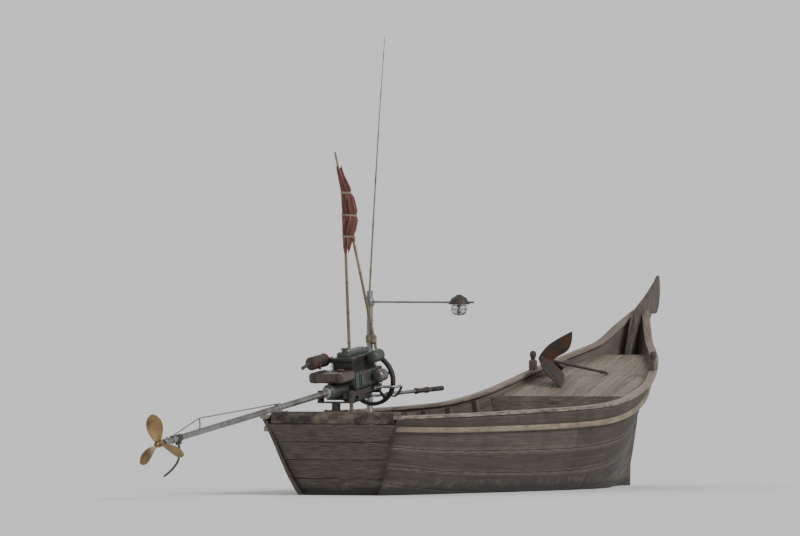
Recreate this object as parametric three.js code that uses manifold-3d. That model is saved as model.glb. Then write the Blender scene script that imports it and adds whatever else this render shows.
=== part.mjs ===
// Longtail boat afloat. Millimetres, +X to the bow, +Y to port, +Z up.
// The origin is on the waterline, under the middle of the hull.
import * as THREE from 'three';
import Module from 'manifold-3d';

const wasm = await Module();
wasm.setup();

const RAD = Math.PI / 180;
const CLEAR = 0.3;
const CURVED_CLEAR = 0.6;

// Hull stations, stern to stem: the sheer and keel points, and the section's two bend points
// as shares of the half breadth (out) and of the height (up).
// sheer x, half breadth, gunwale top, keel x, keel z, low out, low up, high out, high up
const STATIONS = [
  [-3000, 600, 630, -2720, -200, 0.72, 0.02, 0.72, 0.55],
  [-2500, 655, 635, -2390, -222, 0.68, 0.03, 0.85, 0.47],
  [-2000, 692, 640, -1970, -242, 0.65, 0.04, 0.93, 0.42],
  [-1000, 742, 655, -1000, -280, 0.63, 0.05, 0.967, 0.39],
  [0, 760, 672, 0, -300, 0.63, 0.05, 0.967, 0.39],
  [700, 745, 700, 700, -290, 0.63, 0.05, 0.93, 0.41],
  [1200, 705, 760, 1200, -275, 0.62, 0.05, 0.84, 0.47],
  [1600, 645, 845, 1580, -252, 0.58, 0.05, 0.68, 0.58],
  [1900, 565, 935, 1850, -226, 0.5, 0.05, 0.5, 0.7],
  [2200, 445, 1035, 2080, -190, 0.4, 0.05, 0.42, 0.72],
  [2400, 330, 1110, 2240, -160, 0.36, 0.06, 0.38, 0.72],
  [2550, 235, 1175, 2350, -125, 0.36, 0.08, 0.4, 0.7],
  [2700, 150, 1300, 2430, -80, 0.45, 0.12, 0.5, 0.68],
  [2860, 62, 1420, 2500, -30, 0.9, 0.1, 0.95, 0.6],
];
const ROWS = 27;
const PLANK = 26;
const KNOTS = [0, 0.14, 0.28, 0.35, 0.42, 0.55, 0.68, 0.81, 0.93];
const TOP_KNOTS = [0.93, 1];
const SEAM = 0.0003;
// The planks' lengths, by the rows at their butts
const LENGTHS = { aft: [0, 6], middle: [6, 11], fore: [11, 26] };
const GUNWALE = { thick: 30, out: 16, in: 54, stemSide: 33 };
const RAIL = { out: 26, high: 44 };
const STEM_HALF = 30;
const KEEL = { half: 35, deep: 50, end: 2290 };

// Stem post outline, x and z, from the keel's end up the fore edge and back down inside.
const STEM_OUTLINE = [
  [2290, -196], [2480, -150], [2568, -78], [2600, 0], [2620, 280], [2720, 540], [2760, 650],
  [2980, 1330], [3120, 1395], [3180, 1500], [3205, 1600], [3200, 1700], [3130, 1640],
  [2980, 1535], [2840, 1455], [2760, 1400], [2690, 1290], [2590, 1000], [2500, 400], [2420, 20],
  [2290, -120],
];

const RIBS = {
  first: -2340, step: 430, count: 10, half: 19, gap: 0.8, deep: 44, foot: 326, footGap: 8, butt: -405,
  flareFrom: 1000,
  knots: [0.26, 0.42, 0.55, 0.68, 0.93, 0.99],
};
const FLOORS = { top: -146, low: -320, keelsonHalf: 40, keelsonLow: -188 };
const STRINGER = { low: 405, high: 435, near: 38, deep: 80, aft: -2600, fore: 1700 };
const THWARTS = { thick: 30, wide: 240 };
const BOARDS = { count: 5, wide: 135, gap: 12, thick: 20, aft: -2250, fore: 1500 };
const CLEATS = { first: -1695, step: 860, count: 4, wide: 60 };
const STERN_DECK = { aft: -2800, fore: -2060, boards: 5, gap: 8, thick: 22 };
const FOREDECK = { aft: 1350, aftZ: 700, fore: 2520, foreZ: 1062, thick: 26, coaming: 60 };
const TRANSOM = { thick: 36, top: 560 };
const BEAM = { aft: -2972, fore: -2830, half: 540, low: 560.3, high: 660 };
const POST = { x: 1935, half: 27, high: 150 };

// Anchor: its crown's place, and the arm's outline along the shank and away from it.
const ANCHOR = {
  x: 1815, y: 376, heading: -65, dip: 20.6, shank: 510, ring: 22, plate: 12,
  arm: [[-30, 0], [20, 110], [100, 200], [190, 280], [205, 190], [190, 110], [120, 40], [90, 0]],
};

// Engine on its swivel, measured from the swivel pin: r forward of the pin, z above water.
const PIVOT_X = -2900;
const REST_YAW = -5;
const SHAFT_SLOPE = 8.2;
const PITCH_Z = 790;
const SHAFT_RISE = 39;
const SOCKET = { plate: 12, out: 34, bore: 15.7, top: 725 };
const YOKE = { pin: 15, base: 14, half: 40, inner: 128, outer: 150, top: 826, bore: 12.7 };
const CRADLE = { inner: 100, outer: 120, aft: -60, fore: 515, low: -60, high: -20 };
const BLOCK = { aft: 100, fore: 520, half: 95, shoulder: 132, step: -15, mid: 120, top: 205 };
const FLYWHEEL = { aft: 545, fore: 583, radius: 210, rim: 30, hub: 42, spokes: 5 };
const SHAFT = { radius: 12.5, aft: -2765, fore: 602 };
const TUBE = { radius: 25, bore: 19, aft: -2660, fore: -135.3 };
const PROP = { x: -2740, hub: 29, half: 35, radius: 236, blades: 3, first: 80 };
const TANK = { aft: -118, fore: 84, port: 176, starboard: -142, low: 68, high: 150, round: 26 };
const TILLER = { radius: 15, aft: 800, end: 1668, aftZ: 790, endZ: 829 };

// Poles on the aft thwart.
const STANCHION = { x: -1100, y: 560, radius: 25, top: 1600, bore: 10.5, boreDeep: 70 };
const POLE_A = { foot: [-1300, 618], top: [-1300, 700, 2450], radius: 16 };
const POLE_B = { foot: [-1110, 499, 1130], top: [-1400, 725, 2705], radius: 14 };
// Furled flags: x, y, z and radius of the bundle's sections
const BUNDLE = [
  [-1290, 672, 1925, 16], [-1283, 664, 1998, 42], [-1281, 645, 2090, 52], [-1280, 632, 2185, 56],
  [-1296, 642, 2290, 51], [-1318, 660, 2393, 42], [-1342, 680, 2490, 26], [-1360, 696, 2569, 14],
];
const BOOM = { z: 1510, reach: 920, radius: 8, collar: 36, collarHalf: 24, lamp: 785 };

const WOOD = finish(0x2e2823, 0.85, 0);
const PALE_WOOD = finish(0x8f7d63, 0.8, 0);
const DECK_WOOD = finish(0x6b5a45, 0.85, 0);
const IRON = finish(0x3a4340, 0.6, 0.7);
const STEEL = finish(0x8a8a86, 0.45, 0.9);
const BRONZE = finish(0xa07a3c, 0.4, 0.9);
const BAMBOO = finish(0x7d6a45, 0.7, 0);
const CLOTH = finish(0x7c2f2a, 0.95, 0);
const RUBBER = finish(0x1c1c1c, 0.8, 0);
const GLASS = finish(0xdfe8e6, 0.15, 0);
const ROPE = finish(0x9a8a68, 0.95, 0);

const boat = new THREE.Group();

function finish(color, roughness, metalness) {
  return new THREE.MeshStandardMaterial({ color, roughness, metalness });
}

// Turns a list of points and triangles into a closed geometry that faces outward.
function closedGeometry(points, triangles) {
  let volume = 0;
  for (const [a, b, c] of triangles) {
    volume += points[a].dot(points[b].clone().cross(points[c])) / 6;
  }
  const faces = volume < 0 ? triangles.map(([a, b, c]) => [a, c, b]) : triangles;
  const geometry = new THREE.BufferGeometry();
  const position = points.flatMap((p) => [p.x, p.y, p.z]);
  geometry.setAttribute('position', new THREE.Float32BufferAttribute(position, 3));
  geometry.setIndex(faces.flat());
  return geometry;
}

function quad(a, b, c, d) {
  return [[a, b, c], [a, c, d]];
}

// A solid between rings of points, each end closed by a fan from its middle.
function loft(rings) {
  const count = rings[0].length;
  const points = rings.flat();
  const triangles = [];
  for (let i = 0; i + 1 < rings.length; i += 1) {
    for (let j = 0; j < count; j += 1) {
      const next = (j + 1) % count;
      triangles.push(...quad(i * count + j, i * count + next, (i + 1) * count + next, (i + 1) * count + j));
    }
  }
  for (const [ring, flip] of [[0, true], [rings.length - 1, false]]) {
    const middle = new THREE.Vector3();
    rings[ring].forEach((p) => middle.add(p));
    points.push(middle.divideScalar(count));
    for (let j = 0; j < count; j += 1) {
      const pair = [ring * count + j, ring * count + ((j + 1) % count)];
      triangles.push(flip ? [points.length - 1, pair[1], pair[0]] : [points.length - 1, ...pair]);
    }
  }
  return closedGeometry(points, triangles);
}

// A thick sheet between two equal grids of points, closed round its four edges.
function thickSheet(outer, inner) {
  const rows = outer.length;
  const columns = outer[0].length;
  const points = [...outer.flat(), ...inner.flat()];
  const out = (i, j) => i * columns + j;
  const inn = (i, j) => (rows + i) * columns + j;
  const triangles = [];
  for (let i = 0; i + 1 < rows; i += 1) {
    for (let j = 0; j + 1 < columns; j += 1) {
      triangles.push(...quad(out(i, j), out(i, j + 1), out(i + 1, j + 1), out(i + 1, j)));
      triangles.push(...quad(inn(i, j), inn(i + 1, j), inn(i + 1, j + 1), inn(i, j + 1)));
    }
    triangles.push(...quad(out(i, 0), out(i + 1, 0), inn(i + 1, 0), inn(i, 0)));
    const last = columns - 1;
    triangles.push(...quad(out(i, last), inn(i, last), inn(i + 1, last), out(i + 1, last)));
  }
  for (let j = 0; j + 1 < columns; j += 1) {
    triangles.push(...quad(out(0, j + 1), out(0, j), inn(0, j), inn(0, j + 1)));
    const end = rows - 1;
    triangles.push(...quad(out(end, j), out(end, j + 1), inn(end, j + 1), inn(end, j)));
  }
  return closedGeometry(points, triangles);
}

function toSolid(shape) {
  if (!shape.isBufferGeometry) return shape;
  const merged = new Map();
  const remap = [];
  const vertices = [];
  const position = shape.getAttribute('position');
  for (let i = 0; i < position.count; i += 1) {
    const xyz = [position.getX(i), position.getY(i), position.getZ(i)];
    const key = xyz.map((v) => Math.round(v * 1000)).join(' ');
    if (!merged.has(key)) {
      merged.set(key, vertices.length / 3);
      vertices.push(...xyz);
    }
    remap.push(merged.get(key));
  }
  const index = shape.index ? [...shape.index.array] : remap.map((_, i) => i);
  const triVerts = [];
  for (let i = 0; i < index.length; i += 3) {
    const [a, b, c] = [remap[index[i]], remap[index[i + 1]], remap[index[i + 2]]];
    if (a !== b && b !== c && c !== a) triVerts.push(a, b, c);
  }
  return new wasm.Manifold(new wasm.Mesh({
    numProp: 3,
    vertProperties: new Float32Array(vertices),
    triVerts: new Uint32Array(triVerts),
  }));
}

function toGeometry(shape) {
  if (shape.isBufferGeometry) return shape;
  const { vertProperties, triVerts } = shape.getMesh();
  const geometry = new THREE.BufferGeometry();
  geometry.setAttribute('position', new THREE.Float32BufferAttribute(vertProperties, 3));
  geometry.setIndex([...triVerts]);
  return geometry;
}

function fuse(...shapes) {
  return shapes.map(toSolid).reduce((whole, shape) => whole.add(shape));
}

function cut(shape, ...tools) {
  return tools.map(toSolid).reduce((rest, tool) => rest.subtract(tool), toSolid(shape));
}

// Cuts away a neighbour with a small gap on all four sides.
function cutClear(shape, neighbour, gap = 0.4) {
  const tool = toSolid(neighbour);
  const shifts = [[gap, 0, 0], [-gap, 0, 0], [0, gap, 0], [0, -gap, 0]];
  return cut(shape, ...shifts.map((shift) => tool.translate(shift)));
}

// Keeps the largest body of a cut, without the slivers beside it.
function largest(shape) {
  return shape.decompose().sort((a, b) => b.volume() - a.volume())[0];
}

function place(parent, name, shape, material) {
  const mesh = new THREE.Mesh(toGeometry(shape), material);
  mesh.name = name;
  parent.add(mesh);
}

function box(x0, x1, y0, y1, z0, z1) {
  const geometry = new THREE.BoxGeometry(x1 - x0, y1 - y0, z1 - z0);
  return geometry.translate((x0 + x1) / 2, (y0 + y1) / 2, (z0 + z1) / 2);
}

// A side outline of x and z points, as thick as from y0 to y1.
function sideProfile(outline, y0, y1) {
  const shape = new THREE.Shape(outline.map(([x, z]) => new THREE.Vector2(x, z)));
  const geometry = new THREE.ExtrudeGeometry(shape, { depth: y1 - y0, bevelEnabled: false });
  return geometry.rotateX(Math.PI / 2).translate(0, y1, 0);
}

// A round bar or cone between two points.
function rod(from, to, radius, endRadius = radius, sides = 12) {
  const start = new THREE.Vector3(...from);
  const along = new THREE.Vector3(...to).sub(start);
  const length = along.length();
  const geometry = new THREE.CylinderGeometry(endRadius, radius, length, sides);
  const turn = new THREE.Quaternion().setFromUnitVectors(new THREE.Vector3(0, 1, 0), along.normalize());
  geometry.translate(0, length / 2, 0).applyQuaternion(turn);
  return geometry.translate(start.x, start.y, start.z);
}

// A body turned about the x axis, from radius and x pairs that close on themselves.
function turnedX(profile, sides = 16) {
  const points = profile.map(([r, x]) => new THREE.Vector2(r, x));
  const closed = profile[0][0] === 0 && profile.at(-1)[0] === 0;
  if (!closed) points.push(points[0].clone());
  return new THREE.LatheGeometry(points, sides).rotateZ(-Math.PI / 2);
}

// A body turned about the z axis, from radius and z pairs.
function turnedZ(profile, sides = 16) {
  const points = profile.map(([r, z]) => new THREE.Vector2(r, z));
  const closed = profile[0][0] === 0 && profile.at(-1)[0] === 0;
  if (!closed) points.push(points[0].clone());
  return new THREE.LatheGeometry(points, sides).rotateX(Math.PI / 2);
}

// A ring of points about a vertical line.
function circle(x, y, z, radius, sides) {
  return Array.from({ length: sides }, (_, i) => {
    const angle = (i / sides) * 2 * Math.PI;
    return new THREE.Vector3(x + radius * Math.cos(angle), y + radius * Math.sin(angle), z);
  });
}

// A rectangle's outline with its corners rounded.
function roundedOutline(x0, x1, z0, z1, round) {
  const corners = [[x1 - round, z1 - round, 0], [x0 + round, z1 - round, 90],
    [x0 + round, z0 + round, 180], [x1 - round, z0 + round, 270]];
  return corners.flatMap(([x, z, start]) => [0, 30, 60, 90].map((turn) => {
    const angle = (start + turn) * RAD;
    return [x + round * Math.cos(angle), z + round * Math.sin(angle)];
  }));
}

// A bent bar along a smooth path.
function pipe(path, radius, steps, sides = 8) {
  const curve = new THREE.CatmullRomCurve3(path.map((p) => new THREE.Vector3(...p)));
  const section = new THREE.Shape();
  for (let i = 0; i < sides; i += 1) {
    const angle = (i / sides) * 2 * Math.PI;
    const point = [radius * Math.cos(angle), radius * Math.sin(angle)];
    if (i === 0) section.moveTo(...point);
    else section.lineTo(...point);
  }
  return new THREE.ExtrudeGeometry(section, { steps, bevelEnabled: false, extrudePath: curve });
}

// Hull form

function columnCurve(...columns) {
  const points = STATIONS.map((s) => new THREE.Vector3(...columns.map((c) => (c === null ? 0 : s[c]))));
  return new THREE.CatmullRomCurve3(points, false, 'catmullrom', 0.5);
}

const sheerCurve = columnCurve(0, 1, 2);
const keelCurve = columnCurve(3, null, 4);
const lowCurve = columnCurve(5, 6, null);
const highCurve = columnCurve(7, 8, null);

// The section at a share of the hull's length from the transom.
function section(share) {
  const sheer = sheerCurve.getPoint(share);
  const keel = keelCurve.getPoint(share);
  const low = lowCurve.getPoint(share);
  const high = highCurve.getPoint(share);
  const breadth = sheer.y;
  const top = sheer.z - GUNWALE.thick;
  const height = top - keel.z;
  const bend = (t, a, b) => 3 * (1 - t) ** 2 * t * a + 3 * (1 - t) * t ** 2 * b + t ** 3;
  const slope = (t, a, b) => 3 * (1 - t) ** 2 * a + 6 * (1 - t) * t * (b - a) + 3 * t ** 2 * (1 - b);
  // A point of the outer face at t from keel (0) to sheer (1), moved inward by depth.
  const at = (t, depth, lift = 0) => {
    const s = Math.abs(t);
    const side = Math.sign(t);
    const dy = breadth * slope(s, low.x, high.x);
    const dz = height * slope(s, low.y, high.y);
    const length = Math.hypot(dy, dz);
    const inward = s === 0 ? [0, 1] : [-dz / length, dy / length];
    const x = keel.x + (sheer.x - keel.x) * s;
    const y = Math.max(breadth * bend(s, low.x, high.x) + inward[0] * depth, 0);
    const z = keel.z + height * bend(s, low.y, high.y) + inward[1] * depth;
    return new THREE.Vector3(x, s === 0 ? 0 : side * y, Math.min(z, top) + (s === 1 ? lift : 0));
  };
  return { sheer, keel, top, at };
}

const rows = Array.from({ length: ROWS }, (_, i) => section(i / (ROWS - 1)));
const halfKnots = [...KNOTS, ...TOP_KNOTS.slice(1)];
const allKnots = [...halfKnots.slice(1).reverse().map((t) => -t), ...halfKnots];

// The section whose sheer is at x.
function sectionAt(x) {
  let [low, high] = [0, 1];
  while (high - low > 1e-5) {
    const middle = (low + high) / 2;
    if (sheerCurve.getPoint(middle).x < x) low = middle;
    else high = middle;
  }
  return section((low + high) / 2);
}

// Half breadth at a height of a section, inside the planking by depth.
function breadthAt(form, z, depth) {
  let t = 0.1;
  while (t < 1 && form.at(t, depth).z < z) t += 0.002;
  return form.at(t, depth).y;
}

// Planks between two knots, for the whole length or between the butts at two rows.
function planking(knots, [first, last] = [0, ROWS - 1]) {
  const trimmed = knots.map((t, i) => {
    if (i === 0) return t + SEAM;
    return i === knots.length - 1 ? t - SEAM : t;
  });
  const lines = rows.slice(first, last + 1);
  const butt = (i) => {
    if (i === 0 && first > 0) return CLEAR / 2;
    return i === lines.length - 1 && last < ROWS - 1 ? -CLEAR / 2 : 0;
  };
  const grid = (depth) => lines.map((row, i) => trimmed.map((t) => {
    return row.at(t, depth).add(new THREE.Vector3(butt(i), 0, 0));
  }));
  return thickSheet(grid(0), grid(PLANK));
}

// All the planking as one, a little fat, to cut what lies against it.
function fatPlanking() {
  const grid = (depth) => rows.map((row, i) => allKnots.map((t) => {
    const end = i === 0 ? -1 : 1;
    const reach = i === 0 || i === ROWS - 1 ? end * CURVED_CLEAR : 0;
    return row.at(t, depth, CURVED_CLEAR).add(new THREE.Vector3(reach, 0, 0));
  }));
  return toSolid(thickSheet(grid(-CURVED_CLEAR), grid(PLANK + CURVED_CLEAR)));
}

// The space inside the planking, or further in by depth, open upward.
function insideSpace(depth) {
  const rings = rows.map((row) => {
    const ring = allKnots.map((t) => row.at(t, PLANK + depth));
    const raise = new THREE.Vector3(0, 0, 400);
    return [...ring, ring.at(-1).clone().add(raise), ring[0].clone().add(raise)];
  });
  return toSolid(loft(rings));
}

const fatHull = fatPlanking();
const inside = insideSpace(CLEAR);
const insideRibs = insideSpace(RIBS.deep + 2);

function mirrored(knots) {
  return knots.map((t) => -t).reverse();
}

const sides = { port: KNOTS, starboard: mirrored(KNOTS) };

function addPlanking() {
  for (const [name, knots] of Object.entries(sides)) {
    for (const [length, span] of Object.entries(LENGTHS)) {
      place(boat, `${name}_planking_${length}`, planking(knots, span), WOOD);
    }
  }
  place(boat, 'port_top_strake', planking(TOP_KNOTS), WOOD);
  place(boat, 'starboard_top_strake', planking(mirrored(TOP_KNOTS)), WOOD);
}

function addKeelAndStem() {
  const below = rows.filter((row) => row.keel.x < KEEL.end).map((row) => [row.keel.x, row.keel.z]);
  const slope = (below.at(-1)[1] - below.at(-2)[1]) / (below.at(-1)[0] - below.at(-2)[0]);
  below.push([KEEL.end - CLEAR, below.at(-1)[1] + slope * (KEEL.end - below.at(-1)[0])]);
  const outline = [
    ...below.map(([x, z]) => [x, z - KEEL.deep]),
    ...below.map(([x, z]) => [x, z + 10]).reverse(),
  ];
  place(boat, 'keel', largest(cut(sideProfile(outline, -KEEL.half, KEEL.half), fatHull)), WOOD);
  const stem = cut(sideProfile(STEM_OUTLINE, -STEM_HALF, STEM_HALF), fatHull);
  const beside = Object.values(sides).map((knots) => planking(knots, LENGTHS.fore));
  place(boat, 'stem_post', largest(beside.reduce((rest, planks) => cutClear(rest, planks), stem)), WOOD);
}

function addTransom() {
  const { keel, sheer, top } = rows[0];
  const rake = (sheer.x - keel.x) / (top - keel.z);
  const x = (z) => keel.x + (z - keel.z) * rake;
  const low = keel.z - 50;
  const outline = [
    [x(low), low], [x(low) + TRANSOM.thick, low],
    [x(TRANSOM.top) + TRANSOM.thick, TRANSOM.top], [x(TRANSOM.top), TRANSOM.top],
  ];
  place(boat, 'transom', largest(toSolid(sideProfile(outline, -700, 700)).intersect(inside)), WOOD);
}

function addRails() {
  for (const [name, side] of [['port', 1], ['starboard', -1]]) {
    const rail = rows.map((row) => {
      const { x, y, z } = row.at(TOP_KNOTS[0], 0);
      const corner = (out, up) => new THREE.Vector3(x, side * (y + out), z + up);
      const half = RAIL.high / 2;
      return [corner(-8, -half), corner(RAIL.out, 4 - half), corner(RAIL.out, half - 4), corner(-8, half)];
    });
    place(boat, `${name}_rub_rail`, largest(cut(loft(rail), fatHull)), PALE_WOOD);
    const cap = rows.map((row) => {
      const { x, y, z } = row.sheer;
      const near = Math.max(y - GUNWALE.in, GUNWALE.stemSide);
      const corner = (across, up) => new THREE.Vector3(x, side * across, z + up);
      const low = CURVED_CLEAR - GUNWALE.thick;
      return [corner(near, low), corner(y + GUNWALE.out, low), corner(y + GUNWALE.out, 0), corner(near, 0)];
    });
    place(boat, `${name}_gunwale`, loft(cap), DECK_WOOD);
  }
}

// The inner face of one side's planking at x, between the rows on either side of it.
function ribFace(x, depth, side, knots = RIBS.knots) {
  const next = rows.findIndex((row) => row.sheer.x > x);
  const [aft, fore] = [rows[next - 1], rows[next]];
  const share = (x - aft.sheer.x) / (fore.sheer.x - aft.sheer.x);
  return knots.map((t) => aft.at(side * t, depth).lerp(fore.at(side * t, depth), share));
}

const ribPlaces = Array.from({ length: RIBS.count }, (_, i) => RIBS.first + i * RIBS.step);

// How far from the centreline a flat floor timber ends and its rib begins.
function floorEdge(x) {
  const edge = breadthAt(sectionAt(x), FLOORS.top, PLANK);
  return x < RIBS.flareFrom ? Math.max(edge, RIBS.foot) : edge;
}

// One side's ribs, tied together by the stringer that carries the thwarts, still in one length.
function makeRibs(side) {
  const pieces = ribPlaces.map((x) => {
    const grid = (depth) => [x - RIBS.half, x + RIBS.half].map((face) => ribFace(face, depth, side));
    const edge = floorEdge(x) + RIBS.footGap;
    const floorSpace = box(x - 500, x + 500, -edge, edge, -400, 0);
    return cut(thickSheet(grid(PLANK + RIBS.gap), grid(PLANK + RIBS.deep)), floorSpace).intersect(inside);
  });
  const reach = rows.filter(({ sheer }) => sheer.x > STRINGER.aft && sheer.x < STRINGER.fore);
  pieces.push(loft(reach.map((row) => {
    const wall = breadthAt(row, STRINGER.low, PLANK);
    const near = wall - STRINGER.near;
    const deep = wall - STRINGER.deep;
    return [[near, STRINGER.low], [near, STRINGER.high], [deep, STRINGER.high], [deep, STRINGER.low]]
      .map(([y, z]) => new THREE.Vector3(row.sheer.x, side * y, z));
  })));
  return cut(fuse(...pieces), foredeckSlab(-FOREDECK.thick - FOREDECK.coaming - CLEAR, 900));
}

// Flat floor timbers across the bottom, tied together by the keelson.
function makeFloorTimbers() {
  const top = FLOORS.top - CLEAR;
  const middles = ribPlaces.map((x) => ribFace(x, PLANK, 1, [0])[0].x);
  const pieces = middles.map((middle, i) => {
    const edge = floorEdge(ribPlaces[i]);
    return box(middle - RIBS.half, middle + RIBS.half, -edge, edge, FLOORS.low, top);
  });
  const { keelsonHalf, keelsonLow } = FLOORS;
  pieces.push(box(middles[0], middles.at(-1), -keelsonHalf, keelsonHalf, keelsonLow, top));
  return largest(fuse(...pieces).intersect(inside));
}

function foredeckSlab(low, high) {
  const { aft, aftZ, fore, foreZ } = FOREDECK;
  const outline = [[aft, aftZ + low], [fore, foreZ + low], [fore, foreZ + high], [aft, aftZ + high]];
  return sideProfile(outline, -700, 700);
}

function addInside() {
  const floorTimbers = makeFloorTimbers();
  place(boat, 'floor_timbers', floorTimbers, WOOD);
  const ribs = [1, -1].map(makeRibs);
  ribs.forEach((whole, i) => {
    const name = i === 0 ? 'port' : 'starboard';
    const aft = box(-4000, RIBS.butt + CLEAR / 2, -900, 900, -500, 1500);
    const fore = box(RIBS.butt - CLEAR / 2, 4000, -900, 900, -500, 1500);
    place(boat, `${name}_ribs_aft`, largest(cut(whole, fore)), WOOD);
    place(boat, `${name}_ribs_fore`, largest(cut(whole, aft)), WOOD);
  });
  const deck = toSolid(foredeckSlab(-FOREDECK.thick, 0));
  const { aft, aftZ, coaming, thick } = FOREDECK;
  const low = aftZ - thick - coaming;
  const beam = sideProfile([
    [aft, low], [aft + 40, low], [aft + 40, aftZ + 10], [aft + 30, aftZ + 36], [aft, aftZ + 36],
  ], -700, 700);
  place(boat, 'foredeck', largest(fuse(deck, beam).intersect(inside)), DECK_WOOD);
  for (const [name, x] of [['thwart_aft', -1150], ['thwart_mid', -60], ['thwart_forward', 900]]) {
    const half = THWARTS.wide / 2 + (name === 'thwart_aft' ? 80 : 0);
    const walls = [x - half, x + half].map((end) => breadthAt(sectionAt(end), STRINGER.high, PLANK));
    const reach = Math.min(...walls) - RIBS.deep - 14;
    const low = STRINGER.high + CLEAR;
    place(boat, name, box(x - half, x + half, -reach, reach, low, low + THWARTS.thick), DECK_WOOD);
  }
  place(boat, 'floorboards', largest(cutClear(makeFloorboards(), floorTimbers)), DECK_WOOD);
  place(boat, 'stern_deck', ribs.reduce((deck, side) => cutClear(deck, side), makeSternDeck()), DECK_WOOD);
}

function makeFloorboards() {
  const pieces = [];
  const pitch = BOARDS.wide + BOARDS.gap;
  const low = FLOORS.top;
  for (let i = 0; i < BOARDS.count; i += 1) {
    const y = (i - (BOARDS.count - 1) / 2) * pitch;
    pieces.push(box(BOARDS.aft, BOARDS.fore, y - BOARDS.wide / 2, y + BOARDS.wide / 2, low, low + BOARDS.thick));
  }
  for (let i = 0; i < CLEATS.count; i += 1) {
    const x = CLEATS.first + i * CLEATS.step;
    pieces.push(box(x - CLEATS.wide / 2, x + CLEATS.wide / 2, -330, 330, low - 18, low + 2));
  }
  return fuse(...pieces).intersect(insideRibs);
}

function makeSternDeck() {
  const pieces = [];
  const { aft, fore, boards, gap, thick } = STERN_DECK;
  const wall = breadthAt(sectionAt(fore), STRINGER.high, PLANK) - RIBS.deep - 6;
  const low = STRINGER.high + CLEAR;
  const wide = (2 * wall - (boards - 1) * gap) / boards;
  for (let i = 0; i < boards; i += 1) {
    const y = -wall + i * (wide + gap);
    pieces.push(box(aft + 30, fore, y, y + wide, low, low + thick));
  }
  for (const x of [aft + 60, fore - 100]) {
    pieces.push(box(x, x + 50, 90 - wall, wall - 90, low - 25, low + 2));
  }
  return fuse(...pieces).intersect(insideRibs);
}

function addSternBeam() {
  place(boat, 'engine_beam', box(BEAM.aft, BEAM.fore, -BEAM.half, BEAM.half, BEAM.low, BEAM.high), WOOD);
  const plate = box(PIVOT_X - 68, PIVOT_X + 66, -75, 75, BEAM.high + CLEAR, BEAM.high + SOCKET.plate);
  const floor = BEAM.high + 6;
  const tube = turnedZ([[0, floor], [SOCKET.out, floor], [SOCKET.out, SOCKET.top], [0, SOCKET.top]]);
  const bore = rod([0, 0, floor], [0, 0, SOCKET.top + 5], SOCKET.bore, SOCKET.bore, 16);
  const body = fuse(plate, tube.translate(PIVOT_X, 0, 0));
  place(boat, 'pivot_socket', cut(body, bore.translate(PIVOT_X, 0, 0)), IRON);
}

function addBowPosts() {
  for (const [name, side] of [['port', 1], ['starboard', -1]]) {
    const { sheer } = sectionAt(POST.x);
    const y = side * (sheer.y - 18);
    const slope = 0.34;
    const shaft = box(POST.x - POST.half, POST.x + POST.half, y - POST.half, y + POST.half,
      sheer.z - 60, sheer.z + POST.high);
    const below = sideProfile([
      [POST.x - 60, sheer.z - 100], [POST.x + 60, sheer.z - 100],
      [POST.x + 60, sheer.z + 1 + 60 * slope], [POST.x - 60, sheer.z + 1 - 60 * slope],
    ], y - 80, y + 80);
    place(boat, `${name}_bow_post`, cut(shaft, below), WOOD);
  }
}

function addPoles() {
  const { x, y, radius, top, bore, boreDeep } = STANCHION;
  const foot = STRINGER.high + THWARTS.thick + 2 * CLEAR;
  const tube = turnedZ([
    [0, foot], [48, foot], [48, foot + 10], [radius, foot + 10], [radius, top],
    [bore, top], [bore, top - boreDeep], [0, top - boreDeep],
  ]);
  place(boat, 'lamp_stanchion', tube.translate(x, y, 0), STEEL);
  const poleA = (grow) => rod([...POLE_A.foot, foot + 0.7], POLE_A.top, POLE_A.radius + grow, 11 + grow, 10);
  const poleB = (grow) => rod(POLE_B.foot, POLE_B.top, POLE_B.radius + grow, 9 + grow, 10);
  place(boat, 'flag_pole_upright', poleA(0), BAMBOO);
  place(boat, 'flag_pole_leaning', poleB(0), BAMBOO);
  const whip = pipe([
    [x, y, top - boreDeep + CLEAR], [x, y, top + 20], [x, y - 40, top + 700],
    [x, y - 85, top + 1400], [x, y - 132, top + 2020],
  ], 8, 12, 8);
  place(boat, 'whip', whip, BAMBOO);
  const post = rod([x, y, 1000], [x, y, 1400], radius + CLEAR + 0.5, radius + CLEAR + 0.5, 16);
  const lashing = fuse(
    rod([x, y, 1180], [x, y, 1250], radius + 11),
    rod([x - 18, y - 54, 1180], [x - 18, y - 54, 1250], POLE_B.radius + 14),
    box(x - 38, x + 20, y - 58, y, 1180, 1250),
  );
  place(boat, 'pole_lashing', largest(cut(lashing, post, poleB(0.6))), ROPE);
  const bundle = loft(BUNDLE.map(([middleX, middleY, z, r]) => circle(middleX, middleY, z, r, 12)));
  place(boat, 'flag_bundle', largest(cut(bundle, poleA(0.6), poleB(0.6))), CLOTH);
}

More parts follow.
